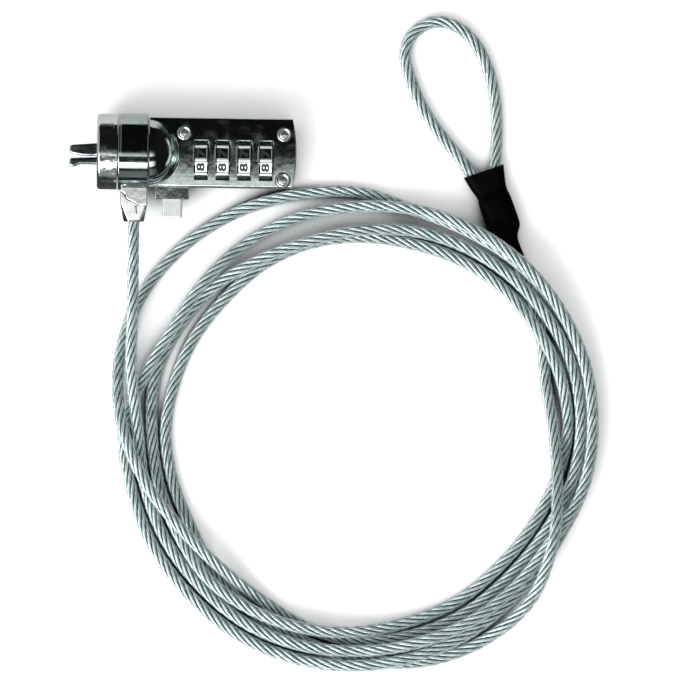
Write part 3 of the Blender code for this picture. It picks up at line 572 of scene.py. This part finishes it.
def cable_route():
    """The cable's whole centre line, from inside the lug round the coil and the eye."""
    lug = at(-4.3, -19.9, 0)
    lead = [
        lug + Vector((0, 6.6, 0)) * MM,
        lug,
        lug + Vector((0, -4.0, 0)) * MM,
        lug + Vector((0.05, -11.0, -0.15)) * MM,
        lug + Vector((0.05, -20.0, -0.6)) * MM,
        lug + Vector((0.0, -29.0, -1.1)) * MM,
    ]
    coil = []
    for index, (radius, height) in enumerate(COIL_STATIONS):
        bearing = math.radians(FIRST_BEARING - index * BEARING_STEP)
        x, y = radius * math.sin(bearing), radius * math.cos(bearing)
        coil.append(coil_at(x, y, JACKET_RADIUS + height))
    rest = [coil_at(*point) for point in INTO_SLEEVE + EYE_ROUTE]
    route, places = smooth_route(lead + coil + rest, RING_STEP)
    route[:, 2] = np.maximum(route[:, 2], JACKET_RADIUS * MM)
    return route, places


def cable_frames(route):
    """Two directions across the cable at each point, carried along it without twist."""
    along = np.gradient(route, axis=0)
    along /= np.linalg.norm(along, axis=1)[:, None]
    side = np.cross(along[0], (0.0, 0.0, 1.0))
    sides = []
    for direction in along:
        side = side - direction * side.dot(direction)
        side /= np.linalg.norm(side)
        sides.append(side)
    sides = np.array(sides)
    return sides, np.cross(along, sides)


def tube_parts(centres, across, up, radius, sides):
    """The rings, faces and map of a round tube along a line."""
    turn = np.arange(sides) * math.tau / sides
    ring = np.cos(turn)[None, :, None] * across[:, None, :] + np.sin(turn)[None, :, None] * up[:, None, :]
    points = centres[:, None, :] + ring * radius * MM
    faces = []
    for row in range(len(centres) - 1):
        for column in range(sides):
            ahead = (column + 1) % sides
            base, above = row * sides, (row + 1) * sides
            faces.append((base + column, base + ahead, above + ahead, above + column))
    last = (len(centres) - 1) * sides
    faces.append(tuple(range(sides))[::-1])
    faces.append(tuple(last + column for column in range(sides)))
    return points.reshape(-1, 3), faces


def mapped_tubes(name, tubes, places, sides):
    """One mesh of several tubes, with a map of turns round each and metres along it."""
    points, faces, turns = [], [], []
    for tube_points, tube_faces in tubes:
        start = sum(len(part) for part in points)
        points.append(tube_points)
        faces += [tuple(start + corner for corner in face) for face in tube_faces]
    mesh = bpy.data.meshes.new(name)
    mesh.from_pydata(np.concatenate(points).tolist(), [], faces)
    layer = mesh.uv_layers.new(name="Lay")
    corners = np.empty(len(mesh.loops), np.int32)
    mesh.loops.foreach_get("vertex_index", corners)
    per_tube = len(places) * sides
    column = (corners % per_tube) % sides
    row = (corners % per_tube) // sides
    turns = column / sides
    starts = np.empty(len(mesh.polygons), np.int32)
    sizes = np.empty(len(mesh.polygons), np.int32)
    mesh.polygons.foreach_get("loop_start", starts)
    mesh.polygons.foreach_get("loop_total", sizes)
    quads = starts[sizes == 4]
    for offset in range(4):
        wraps = column[quads[:, None] + np.arange(4)].max(axis=1) == sides - 1
        zero = column[quads + offset] == 0
        turns[(quads + offset)[wraps & zero]] = 1.0
    values = np.stack([turns, places[row]], axis=1).astype(np.float32)
    layer.data.foreach_set("uv", values.reshape(-1))
    return link(bpy.data.objects.new(name, mesh))


def make_cable():
    """The steel strands and their clear jacket."""
    route, places = cable_route()
    across, up = cable_frames(route)
    strands = []
    for index in range(STRAND_COUNT):
        turn = math.tau * (index / STRAND_COUNT + places / (LAY_LENGTH * MM))
        outward = np.cos(turn)[:, None] * across + np.sin(turn)[:, None] * up
        sideways = -np.sin(turn)[:, None] * across + np.cos(turn)[:, None] * up
        centres = route + outward * STRAND_CIRCLE * MM
        strands.append(tube_parts(centres, outward, sideways, STRAND_RADIUS, STRAND_SIDES))
    rope = mapped_tubes("steel_strands", strands, places, STRAND_SIDES)
    rope.data.materials.append(ROPE_STEEL)
    rope.data.shade_smooth()
    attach(rope, "cable")
    skin = slice(None, None, 2)
    tube = tube_parts(route[skin], across[skin], up[skin], JACKET_RADIUS, JACKET_SIDES)
    jacket = mapped_tubes("cable_jacket", [tube], places[skin], JACKET_SIDES)
    jacket.data.materials.append(CLEAR_JACKET)
    jacket.data.shade_smooth()
    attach(jacket, "cable")
    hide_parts("cable_lead", "cable_coil", "eye_loop")
    return rope, jacket, route, places[-1]


def stadium(centre, across, width, thickness, corners=14):
    """A flat oval round a centre, standing upright."""
    radius = thickness / 2
    shift = width / 2 - radius
    ring = arc((shift, 0), radius, -90, 90, corners) + arc((-shift, 0), radius, 90, 270, corners)
    return [centre + (across * u + Vector((0, 0, v))) * MM for u, v in ring]


def smooth_sections(sections, count):
    """More sections on a smooth curve through the given ones."""
    made = []
    padded = [sections[0]] + sections + [sections[-1]]
    for before, start, end, after in zip(padded, padded[1:], padded[2:], padded[3:]):
        for step in range(count):
            t = step / count
            made.append([
                b + (c - b) * (3 * t**2 - 2 * t**3) + (c - a) * (t - 2 * t**2 + t**3) / 2
                + (d - b) * (t**3 - t**2) / 2
                for a, b, c, d in zip(before, start, end, after)
            ])
    return made + [list(sections[-1])]


def make_sleeve():
    """The shrunk sleeve over the ferrule and the cable's legs."""
    sections = smooth_sections(SLEEVE_SECTIONS, 5)
    centres = [coil_at(x, y, thickness / 2) for x, y, _, thickness in sections]
    bm = bmesh.new()
    loops = []
    for index, (_, _, width, thickness) in enumerate(sections):
        along = centres[min(index + 1, len(centres) - 1)] - centres[max(index - 1, 0)]
        across = Vector((-along.y, along.x, 0.0)).normalized()
        ring = [bm.verts.new(p) for p in stadium(centres[index], across, width, thickness)]
        loops.append([bm.edges.new(pair) for pair in zip(ring, ring[1:] + ring[:1])])
    for first, second in zip(loops, loops[1:]):
        bmesh.ops.bridge_loops(bm, edges=first + second)
    sleeve = solid("shrink_sleeve", bm)
    wall = sleeve.modifiers.new("Wall", "SOLIDIFY")
    wall.thickness = 0.3 * MM
    wall.offset = -1.0
    settle(sleeve)
    return dress(sleeve, SHRINK_TUBE, "cable", "black_sleeve", "heat_shrink_sleeve")


# Lock


def make_cap():
    """The nose cap, with its slot for the jaws."""
    rim = arc((9.9, -14.1), 0.9, 0, -90, 8)
    profile = [(10.8, -9.3)] + rim + [(0.0, -15.0), (0.0, -13.2), (7.3, -13.2), (7.3, -9.3)]
    cap = solid("chromed_cap", spun(profile, (0, 0, 0)))
    slot = solid("jaw_slot", block((-16.0, -4.2, -1.85), (-12.0, 3.0, 1.85)))
    carve(cap, ("DIFFERENCE", slot))
    return dress(cap, CAP_CHROME, "housing", "cap_chrome", "nose_cap")


def octagon(width, depth, chamfer):
    """The corners of a rectangle with its corners cut, as (x, z) pairs."""
    u, v = width / 2, depth / 2
    return [
        (u, v - chamfer), (u - chamfer, v), (chamfer - u, v), (-u, v - chamfer),
        (-u, chamfer - v), (chamfer - u, -v), (u - chamfer, -v), (u, chamfer - v),
    ]


def make_ring():
    """The swivel ring with the strap round it."""
    outer = arc((10.6, -0.6), 0.25, 90, 0, 3) + arc((10.6, -8.7), 0.25, 0, -90, 3)
    ring = solid("turned_ring", spun(outer + [(7.3, -8.95), (7.3, -0.35)], (0, 0, 0)))
    strap_profile = arc((10.8, -0.75), 0.25, 90, 0, 3) + arc((10.8, -8.05), 0.25, 0, -90, 3)
    strap_profile += [(9.6, -8.3), (9.6, -0.5)]
    strap = solid("strap", spun(strap_profile, (0, 0, 0), start=-5, angle=190, steps=80))
    carve(ring, ("UNION", strap))
    return dress(ring, POLISHED, "cable", "ring_chrome", "swivel_ring")


def crease(start, end, width, depth):
    """A V-shaped cutter along a line on the lug's front."""
    start, end = Vector(start), Vector(end)
    along = end - start
    half = Vector((-along.y, along.x)).normalized() * width / 2
    bm = bmesh.new()
    ends = []
    for point in (start, end):
        ends.append([
            bm.verts.new(at(point.x + half.x, point.y + half.y, 4.2)),
            bm.verts.new(at(point.x - half.x, point.y - half.y, 4.2)),
            bm.verts.new(at(point.x, point.y, 4.2 - depth)),
        ])
    first, last = ends
    for face in (first, last[::-1]):
        bm.faces.new(face)
    for (a, b), (c, d) in zip(zip(first, first[1:] + first[:1]), zip(last, last[1:] + last[:1])):
        bm.faces.new((a, c, d, b))
    return solid("crease", bm)


def make_lug():
    """The lug that is crimped onto the cable, with the creases of the crimping."""
    sections = [
        (-8.6, 7.7, 3.95, 0.3), (-14.7, 7.7, 3.62, 0.3), (-19.3, 6.0, 3.2, 1.3), (-19.9, 5.6, 2.9, 1.3),
    ]
    bm = bmesh.new()
    loops = []
    for y, width, front, chamfer in sections:
        corners = octagon(width, 2 * front, chamfer)
        ring = [bm.verts.new(at(-4.3 + x, y, z)) for x, z in corners]
        loops.append([bm.edges.new(pair) for pair in zip(ring, ring[1:] + ring[:1])])
    for first, second in zip(loops, loops[1:]):
        bmesh.ops.bridge_loops(bm, edges=first + second)
    bmesh.ops.edgeloop_fill(bm, edges=loops[0])
    bmesh.ops.edgeloop_fill(bm, edges=loops[-1])
    bmesh.ops.recalc_face_normals(bm, faces=bm.faces)
    soften(bm, 0.12, 2, 12)
    lug = solid("crimped_lug", bm)
    steps = [
        ("DIFFERENCE", solid("socket", rod((-4.3, -21.0, 0), 8.0, 1.95, "Y"))),
        ("DIFFERENCE", solid("ring_seat", rod((-10.0, 0, 0), 11.0, 10.95, "X", 160))),
    ]
    line = [(-8.4, -10.9), (-7.0, -12.0), (-6.3, -13.4), (-4.9, -14.0), (-2.9, -15.2), (0.0, -15.2)]
    for start, end in zip(line, line[1:]):
        steps.append(("DIFFERENCE", crease(start, end, 0.95, 1.05)))
    steps.append(("DIFFERENCE", crease((-3.7, -15.3), (-3.5, -17.6), 0.8, 1.35)))
    carve(lug, *steps)
    return dress(lug, LUG_ZINC, "cable", "ring_chrome", "swivel_ring")


def case_outline():
    """The case's section: a barely crowned front and a well rounded back."""
    points = arc((9.2, 3.14), 0.9, 0, 85, 8)
    points += [(y, 4.3 - 0.26 * ((y - 0.1) / 9.1) ** 2) for y in np.linspace(8.9, -8.7, 25)]
    points += arc((-9.0, 3.14), 0.9, 95, 180, 8)
    points += arc((-4.9, -6.0), 5.0, 180, 270, 14)
    points += arc((5.1, -6.0), 5.0, 270, 360, 14)
    return points


def case_half(name, low_z, high_z):
    """One half of the case before its hollows, with its bowed and softened far end."""
    half = solid(name, prism(case_outline(), 0.35, 45.0, "X"))
    edge = [(0.0, -15.0), (42.3, -15.0)] + arc((41.6, 3.7), 0.7, 0, 90, 5) + [(0.0, 4.4)]
    bow = solid("bow", spun(edge, (-0.4, 0.1, 0), "Z", 360))
    span = solid("span", block((-5.0, -30.0, low_z), (60.0, 30.0, high_z)))
    carve(half, ("INTERSECT", bow), ("INTERSECT", span))
    return half


def window_tool(index):
    """The cutter of one dial's window, flared at the front."""
    x = DIAL_FIRST_X + index * DIAL_PITCH
    well = rod((x - 2.0, DIAL_Y, 0), 4.0, 7.05, "X", 72)
    flare = block((x - 2.85, DIAL_Y - 6.35, 4.15), (x + 2.85, DIAL_Y + 6.35, 4.45))
    middle = at(x, DIAL_Y, 0)
    for vert in flare.verts:
        if vert.co.z < at(0, 0, 4.3).z:
            vert.co.x = middle.x + (vert.co.x - middle.x) * 2.05 / 2.85
            vert.co.y = middle.y + (vert.co.y - middle.y) * 5.6 / 6.35
    soften(flare, 0.5, 4, keep=lambda edge: abs(edge.verts[0].co.z - edge.verts[1].co.z) > 0.0002)
    return solid(f"well_{index}", well), solid(f"flare_{index}", flare)


def case_hollows():
    """The cutters that both halves of the case share."""
    tools = [
        solid("chamber", block((0.9, -9.1, -6.3), (10.9, 3.0, 2.6))),
        solid("hub_seat", rod((-1.0, 0, 0), 1.7, 7.3, "X", 96)),
        solid("hub_flange", rod((0.6, 0, 0), 1.6, 8.1, "X", 96)),
        solid("sleeve_bore", rod((10.0, DIAL_Y, 0), 27.0, 2.9, "X")),
        solid("button_bore", block((3.4, -14.3, -6.3), (9.8, -9.0, -0.7))),
        solid("pin_bore", rod((10.3, -12.4, -7.2), 9.0, 0.8, "Z")),
    ]
    for index in range(4):
        tools += window_tool(index)
    for name, (x, y) in RIVETS.items():
        tools.append(solid(f"{name}_seat", rod((x, y, 3.3), 2.0, 2.3, "Z")))
        tools.append(solid(f"{name}_bore", rod((x, y, -9.2), 13.0, 1.5, "Z")))
    return [("DIFFERENCE", tool) for tool in tools]


def dome_profile():
    """The dome's side, from its top down a fillet into the housing's front."""
    touch = math.degrees(math.atan2(5.3, 9.98))
    ball = [(10.3 * math.cos(math.radians(a)), 10.3 * math.sin(math.radians(a))) for a in np.linspace(90, touch, 30)]
    fillet = arc((9.98, 5.3), 1.0, 180 + touch, 270, 8)
    return ball + [(r, z - 0.02) for r, z in fillet[1:]] + [(9.98, 1.0), (0.0, 1.0)]


def make_case():
    """The two halves of the case, with the dome and the button's shroud."""
    front = case_half("case_front", -4.05, 15.0)
    dome = solid("dome", spun(dome_profile(), (-1.0, 0, 0), "Z", 144))
    side = solid("dome_side", block((0.0, -12.0, -8.0), (12.0, 12.0, 14.0)))
    carve(dome, ("INTERSECT", side))
    shroud = block((1.6, -13.3, -4.05), (11.4, -5.0, 1.0))
    soften(shroud, 0.35, 3)
    carve(front, ("UNION", dome), ("UNION", solid("shroud", shroud)), *case_hollows())
    dress(front, CASE_CHROME, "housing", "case_chrome", "front_case", angle=28)
    back = case_half("case_back", -15.0, -4.25)
    shroud = block((1.6, -13.3, -8.0), (11.4, -5.0, -4.25))
    soften(shroud, 0.35, 3)
    half_ball = solid("half_ball", spun(arc((0, 0), 10.3, 90, -90, 60) , (-1.0, 0, 0), "Z", 144))
    side = solid("ball_side", block((0.0, -12.0, -12.0), (12.0, 12.0, -4.25)))
    carve(half_ball, ("INTERSECT", side))
    carve(back, ("UNION", half_ball), ("UNION", solid("shroud", shroud)), *case_hollows())
    dress(back, CASE_CHROME, "housing", "case_chrome", "back_case", angle=28)


def make_rivets():
    """Three headed rivets with turned-over rims."""
    profile = [
        (0.0, 4.45), (0.9, 4.42), (1.25, 4.3), (1.45, 4.45), (1.7, 4.6), (1.9, 4.5), (2.0, 4.25),
        (2.0, 3.6), (1.2, 3.6), (1.2, -8.9), (0.0, -8.9),
    ]
    for name, (x, y) in RIVETS.items():
        rivet = solid(f"{name}_head", spun(profile, (x, y, 0), "Z", 64))
        dress(rivet, RIVET_STEEL, "housing", "rivet_steel", name)


def jaw_outline(sign):
    """A jaw's outline, above the middle for sign 1 and below it for sign -1."""
    outline = [(-5.5, 1.9), (-11.2, 0.15), (-13.2, 0.15)]
    mouth = 0.15 - sign * 0.9
    outline += [(-15.6, mouth), (-17.7, mouth), (-19.4, mouth + 0.07)]
    low, high, nose = (-0.2, 2.5, 1.0) if sign > 0 else (1.25, 3.8, 0.8)
    outline += arc((-22.9 + nose, low + nose), nose, 270, 180, 7)
    outline += arc((-22.9 + nose, high - nose), nose, 180, 90, 7)
    if sign > 0:
        outline.append((-16.0, 2.95))
    else:
        outline += [(-21.2, high), (-20.0, 3.15)]
    outline += [(-12.0, 3.15), (-5.5, 3.15)]
    return [(x, -0.6 + sign * y) for x, y in outline]


def make_jaws():
    """The two prongs."""
    for side, sign in (("upper", 1), ("lower", -1)):
        bm = prism(jaw_outline(sign), -1.5, 1.5, "Z")
        soften(bm, 0.6, 5, 50, lambda edge: abs(edge.verts[0].co.z - edge.verts[1].co.z) < 0.0001, False)
        jaw = solid(f"{side}_prong", bm)
        hole = solid("pin_hole", rod((-10.5, -0.6 + sign * 1.7, -3.0), 6.0, 0.9, "Z"))
        carve(jaw, ("DIFFERENCE", hole))
        dress(jaw, JAW_CHROME, f"{side}_jaw_body", "jaw_steel", f"{side}_jaw")


def dial_outline():
    """A dial's section: ten flat faces with a thin bar between each two."""
    points = []
    for index in range(10):
        bar = 90 + index * 36
        for offset, radius in ((-3.6, 6.42), (-2.3, 6.42), (-2.3, 6.75), (2.3, 6.75), (2.3, 6.42), (3.6, 6.42)):
            a = math.radians(bar + offset)
            points.append((DIAL_Y + radius * math.cos(a), radius * math.sin(a)))
        for offset, radius in ((3.9, 6.68), (32.1, 6.68)):
            a = math.radians(bar + offset)
            points.append((DIAL_Y + radius * math.cos(a), radius * math.sin(a)))
    return points


def make_ridges(index):
    """The ten worn ridges between a dial's faces."""
    centre = DIAL_FIRST_X + index * DIAL_PITCH
    middle = at(centre, DIAL_Y, 0)
    bm = bmesh.new()
    for ridge in range(10):
        made = bmesh.ops.create_cube(bm, size=1.0)["verts"]
        bmesh.ops.scale(bm, vec=Vector((DIAL_WIDTH + 0.02, 0.66, 0.5)) * MM, verts=made)
        bmesh.ops.translate(bm, vec=(0, 0, 6.54 * MM), verts=made)
        bmesh.ops.rotate(bm, matrix=Matrix.Rotation(math.radians(36 * ridge), 3, "X"), verts=made)
    bmesh.ops.translate(bm, vec=middle, verts=bm.verts)
    soften(bm, 0.12, 3)
    ridges = solid(f"dial_{index + 1}_ridges", bm)
    dress(ridges, RIDGE_STEEL, f"dial_{index + 1}_body", "dial_chrome", angle=30)


def number_mesh(digit, size):
    """A digit as a thin solid, bold, its middle at the origin."""
    curve = bpy.data.curves.new("number", "FONT")
    curve.body = str(digit)
    curve.size = size
    curve.align_x = "CENTER"
    curve.align_y = "CENTER"
    curve.extrude = 0.03
    curve.offset = 0.17
    curve.resolution_u = 4
    helper = link(bpy.data.objects.new("number", curve))
    bpy.context.view_layer.update()
    graph = bpy.context.evaluated_depsgraph_get()
    mesh = bpy.data.meshes.new_from_object(helper.evaluated_get(graph))
    bpy.data.objects.remove(helper, do_unlink=True)
    return mesh


def make_dials():
    """The four dials and the numbers sunk in their faces."""
    flat = 6.68 * math.cos(math.radians(14.1))
    for index in range(4):
        centre = DIAL_FIRST_X + index * DIAL_PITCH
        bm = prism(dial_outline(), centre - DIAL_WIDTH / 2, centre + DIAL_WIDTH / 2, "X")
        faces = [
            face for face in bm.faces
            if abs(face.normal.x) < 0.1 and face.calc_area() > 9.0 * MM * MM
        ]
        bmesh.ops.inset_individual(bm, faces=faces, thickness=0.28 * MM, depth=-0.12 * MM)
        dial = solid(f"number_dial_{index + 1}", bm)
        bore = solid("dial_bore", rod((centre - 4, DIAL_Y, 0), 8.0, 2.9, "X"))
        carve(dial, ("DIFFERENCE", bore))
        dress(dial, DIAL_CHROME, f"dial_{index + 1}_body", "dial_chrome", f"dial_{index + 1}", angle=15)
        numbers = bmesh.new()
        for number in range(10):
            angle = 90 + 18 + number * 36
            tilt = math.radians(angle - 90)
            mesh = number_mesh((8 + number) % 10, 3.3)
            turn = Matrix.Rotation(math.radians(90), 4, "Z") @ Matrix.Diagonal((1.5, 0.95, 1.0, 1.0))
            lift = Matrix.Translation((0, 0, flat - 0.12))
            place = Matrix.Translation((centre, DIAL_Y, 0)) @ Matrix.Rotation(tilt, 4, "X") @ lift @ turn
            mesh.transform(Matrix.Translation(BARREL) @ place)
            mesh.transform(Matrix.Scale(MM, 4))
            numbers.from_mesh(mesh)
            bpy.data.meshes.remove(mesh)
        make_ridges(index)
        inks = solid(f"dial_{index + 1}_numbers", numbers)
        dress(inks, NUMBER_INK, f"dial_{index + 1}_body", "dial_chrome", angle=30)


def make_button():
    """The release button with its flange and driving wedge."""
    body = block((3.7, -18.8, -6.0), (9.5, -8.5, -1.0))
    soften(body, 0.7, 4)
    button = solid("release_button", body)
    flange = solid("flange", block((3.0, -8.8, -6.0), (10.2, -8.0, -2.4)))
    wedge = [(3.1, -8.4), (7.2, -8.4), (7.2, -2.7), (6.75, -2.7), (3.1, -8.2)]
    carve(button, ("UNION", flange), ("UNION", solid("wedge", prism(wedge, -5.8, -2.4, "Z"))))
    dress(button, BUTTON_STEEL, "button_body", "button_satin", "button")


def make_spring(name, start, length, axis, radius, wire, turns):
    """A coil spring that starts at a point of the housing's frame and runs along an axis."""
    bm = bmesh.new()
    bmesh.ops.create_circle(bm, segments=8, radius=wire * MM)
    bmesh.ops.rotate(bm, matrix=Matrix.Rotation(math.radians(90), 3, "X"), verts=bm.verts)
    bmesh.ops.translate(bm, vec=(radius * MM, 0, 0), verts=bm.verts)
    bmesh.ops.spin(
        bm,
        geom=bm.verts[:] + bm.edges[:],
        cent=(0, 0, 0),
        axis=(0, 0, 1),
        dvec=(0, 0, length * MM / (turns * 20)),
        angle=math.tau * turns,
        steps=turns * 20,
    )
    bmesh.ops.holes_fill(bm, edges=bm.edges, sides=0)
    bmesh.ops.rotate(bm, matrix=AXIS_TURNS[axis], verts=bm.verts)
    bmesh.ops.translate(bm, vec=at(*start), verts=bm.verts)
    return solid(name, bm)


def make_springs():
    """The two return springs, each carried by its body."""
    spindle = make_spring("spindle_coil_spring", (-2.2, 0.0, 0.0), 5.8, "X", 2.2, 0.3, 4)
    dress(spindle, SPRING_STEEL, "spindle_body", "spring_steel", "spindle_spring")
    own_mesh(spindle)
    button = make_spring("button_coil_spring", (8.7, -7.6, -4.2), 10.2, "Y", 0.9, 0.2, 6)
    dress(button, SPRING_STEEL, "button_body", "spring_steel", "button_spring")
    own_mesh(button)


def dress_hidden_nodes():
    """Materials for the solids that stay as they are."""
    finishes = {
        "barrel_tube": PLAIN_STEEL, "upper_jaw_pin": PLAIN_STEEL, "lower_jaw_pin": PLAIN_STEEL,
        "spindle": PLAIN_STEEL, "button_pin": PLAIN_STEEL,
        "detent_spring": BRASS, "crimp_ferrule": FERRULE_METAL,
    }
    finishes.update({f"code_sleeve_{index}": PLAIN_STEEL for index in range(1, 5)})
    for name, material in finishes.items():
        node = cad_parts[name]
        node.data.materials.clear()
        node.data.materials.append(material)


# Studio


def make_floor():
    """A pale floor, with painted shade where things crowd it and a faint glow where it is open, which lifts its
    shadows.
    """
    bm = bmesh.new()
    bmesh.ops.create_grid(bm, x_segments=1, y_segments=1, size=4.0)
    floor = solid("floor", bm)
    floor.location.z = -0.00006
    material, tree, shader = blank_material("pale_floor_painted_shade_and_glow", (0.93, 0.93, 0.93), 0.9, 0.0)
    shader.inputs["Specular IOR Level"].default_value = 0.1
    # Painted light: the floor glows in this colour where it is open (its strength is set below), though it is no
    # lamp.
    shader.inputs["Emission Color"].default_value = (0.95, 0.93, 0.95, 1.0)
    near = add_node(tree, "ShaderNodeAmbientOcclusion", Distance=0.012)
    # Painted shade: the floor's colour turns near-black teal where the occlusion node finds things close around it.
    mix = add_node(tree, "ShaderNodeMix", data_type="RGBA")
    mix.inputs["A"].default_value = (0.003, 0.010, 0.010, 1.0)
    mix.inputs["B"].default_value = (0.93, 0.93, 0.93, 1.0)
    tree.links.new(ranged(tree, near.outputs["AO"], 0.20, 0.48), mix.inputs["Factor"])
    tree.links.new(mix.outputs["Result"], shader.inputs["Base Color"])
    tree.links.new(ranged(tree, near.outputs["AO"], 0.3, 0.9, 0.0, 0.2), shader.inputs["Emission Strength"])
    floor.data.materials.append(material)
    floor.visible_glossy = False


def area_light(name, place, size, energy, target=(0.03, -0.04, 0.0), glossy=True):
    """A soft rectangular light that faces a point."""
    lamp = bpy.data.lights.new(name, "AREA")
    lamp.shape = "RECTANGLE"
    lamp.size, lamp.size_y = size
    lamp.energy = energy
    obj = link(bpy.data.objects.new(name, lamp))
    obj.location = place
    obj.rotation_euler = (Vector(target) - obj.location).to_track_quat("-Z", "Y").to_euler()
    obj.visible_glossy = glossy
    return obj


def reflected_room(tree, place):
    """What the chrome sees: bands of soft boxes and dark room, and a bright slit far to the right."""
    split = tree.nodes.new("ShaderNodeSeparateXYZ")
    tree.links.new(place, split.inputs["Vector"])
    angle = maths(tree, "ARCTAN2", split.outputs["Y"], split.outputs["Z"])
    ramp = add_node(tree, "ShaderNodeValToRGB")
    tree.links.new(ranged(tree, angle, -math.pi, math.pi), ramp.inputs["Fac"])
    stops = ramp.color_ramp.elements
    while len(stops) < len(ROOM_BANDS):
        stops.new(0.5)
    for stop, (degrees, grey) in zip(stops, ROOM_BANDS):
        stop.position = degrees / 360 + 0.5
        stop.color = (grey * 0.95, grey, grey, 1.0)
    across = split.outputs["X"]
    height = split.outputs["Z"]
    slit = maths(tree, "MULTIPLY", ranged(tree, height, 0.01, 0.04), ranged(tree, height, 0.18, 0.15))
    slit = maths(tree, "MULTIPLY", slit, ranged(tree, across, 0.80, 0.88))
    far = maths(tree, "ADD", maths(tree, "MULTIPLY", slit, 0.9), ranged(tree, height, 0.0, -0.9, 0.01, 0.2))
    dark = maths(tree, "MULTIPLY", ranged(tree, across, 0.50, 0.28), 1.0)
    room = maths(tree, "MULTIPLY", ramp.outputs["Color"], dark)
    room = maths(tree, "ADD", room, maths(tree, "MULTIPLY", far, ranged(tree, across, 0.28, 0.50)))
    left = maths(tree, "MULTIPLY", ranged(tree, across, -0.30, -0.60), ranged(tree, height, 0.1, 0.25))
    return maths(tree, "ADD", room, maths(tree, "MULTIPLY", left, 0.45))


def make_light():
    """Soft studio light: a bright even room, a key box at the lower left, and banded reflections."""
    area_light("key_box", (-0.75, -1.10, 1.05), (1.4, 1.4), 34.0)
    world = bpy.data.worlds.new("studio")
    world.use_nodes = True
    world.cycles.sampling_method = "NONE"
    tree = world.node_tree
    place = add_node(tree, "ShaderNodeTexCoord")
    room = reflected_room(tree, place.outputs["Generated"])
    rays = add_node(tree, "ShaderNodeLightPath")
    mix = add_node(tree, "ShaderNodeMix", data_type="FLOAT")
    mix.inputs["A"].default_value = 0.85
    tree.links.new(room, mix.inputs["B"])
    tree.links.new(rays.outputs["Is Glossy Ray"], mix.inputs["Factor"])
    background = tree.nodes["Background"]
    tree.links.new(mix.outputs["Result"], background.inputs["Color"])
    background.inputs["Strength"].default_value = 1.0
    bpy.context.scene.world = world


def make_camera():
    """Straight down on the lock and its coil, from far away."""
    camera = bpy.data.cameras.new("camera")
    height = 8.0
    camera.sensor_width = 36.0
    camera.lens = 36.0 * height / 0.1943
    camera.clip_start, camera.clip_end = 0.1, 30.0
    obj = link(bpy.data.objects.new("camera", camera))
    obj.location = coil_at(-5.14, 25.7, 0) + Vector((0, 0, height))
    obj.rotation_euler = (0, 0, PHOTO_TURN)
    bpy.context.scene.camera = obj
    bpy.context.scene.view_settings.view_transform = "Standard"


make_camera()
make_light()
make_floor()
strands, jacket, cable_line, cable_length = make_cable()
sleeve = make_sleeve()
make_cap()
make_ring()
make_lug()
make_case()
make_rivets()
make_jaws()
make_dials()
make_button()
make_springs()
dress_hidden_nodes()
print("cable:", round(cable_length, 4), "m")
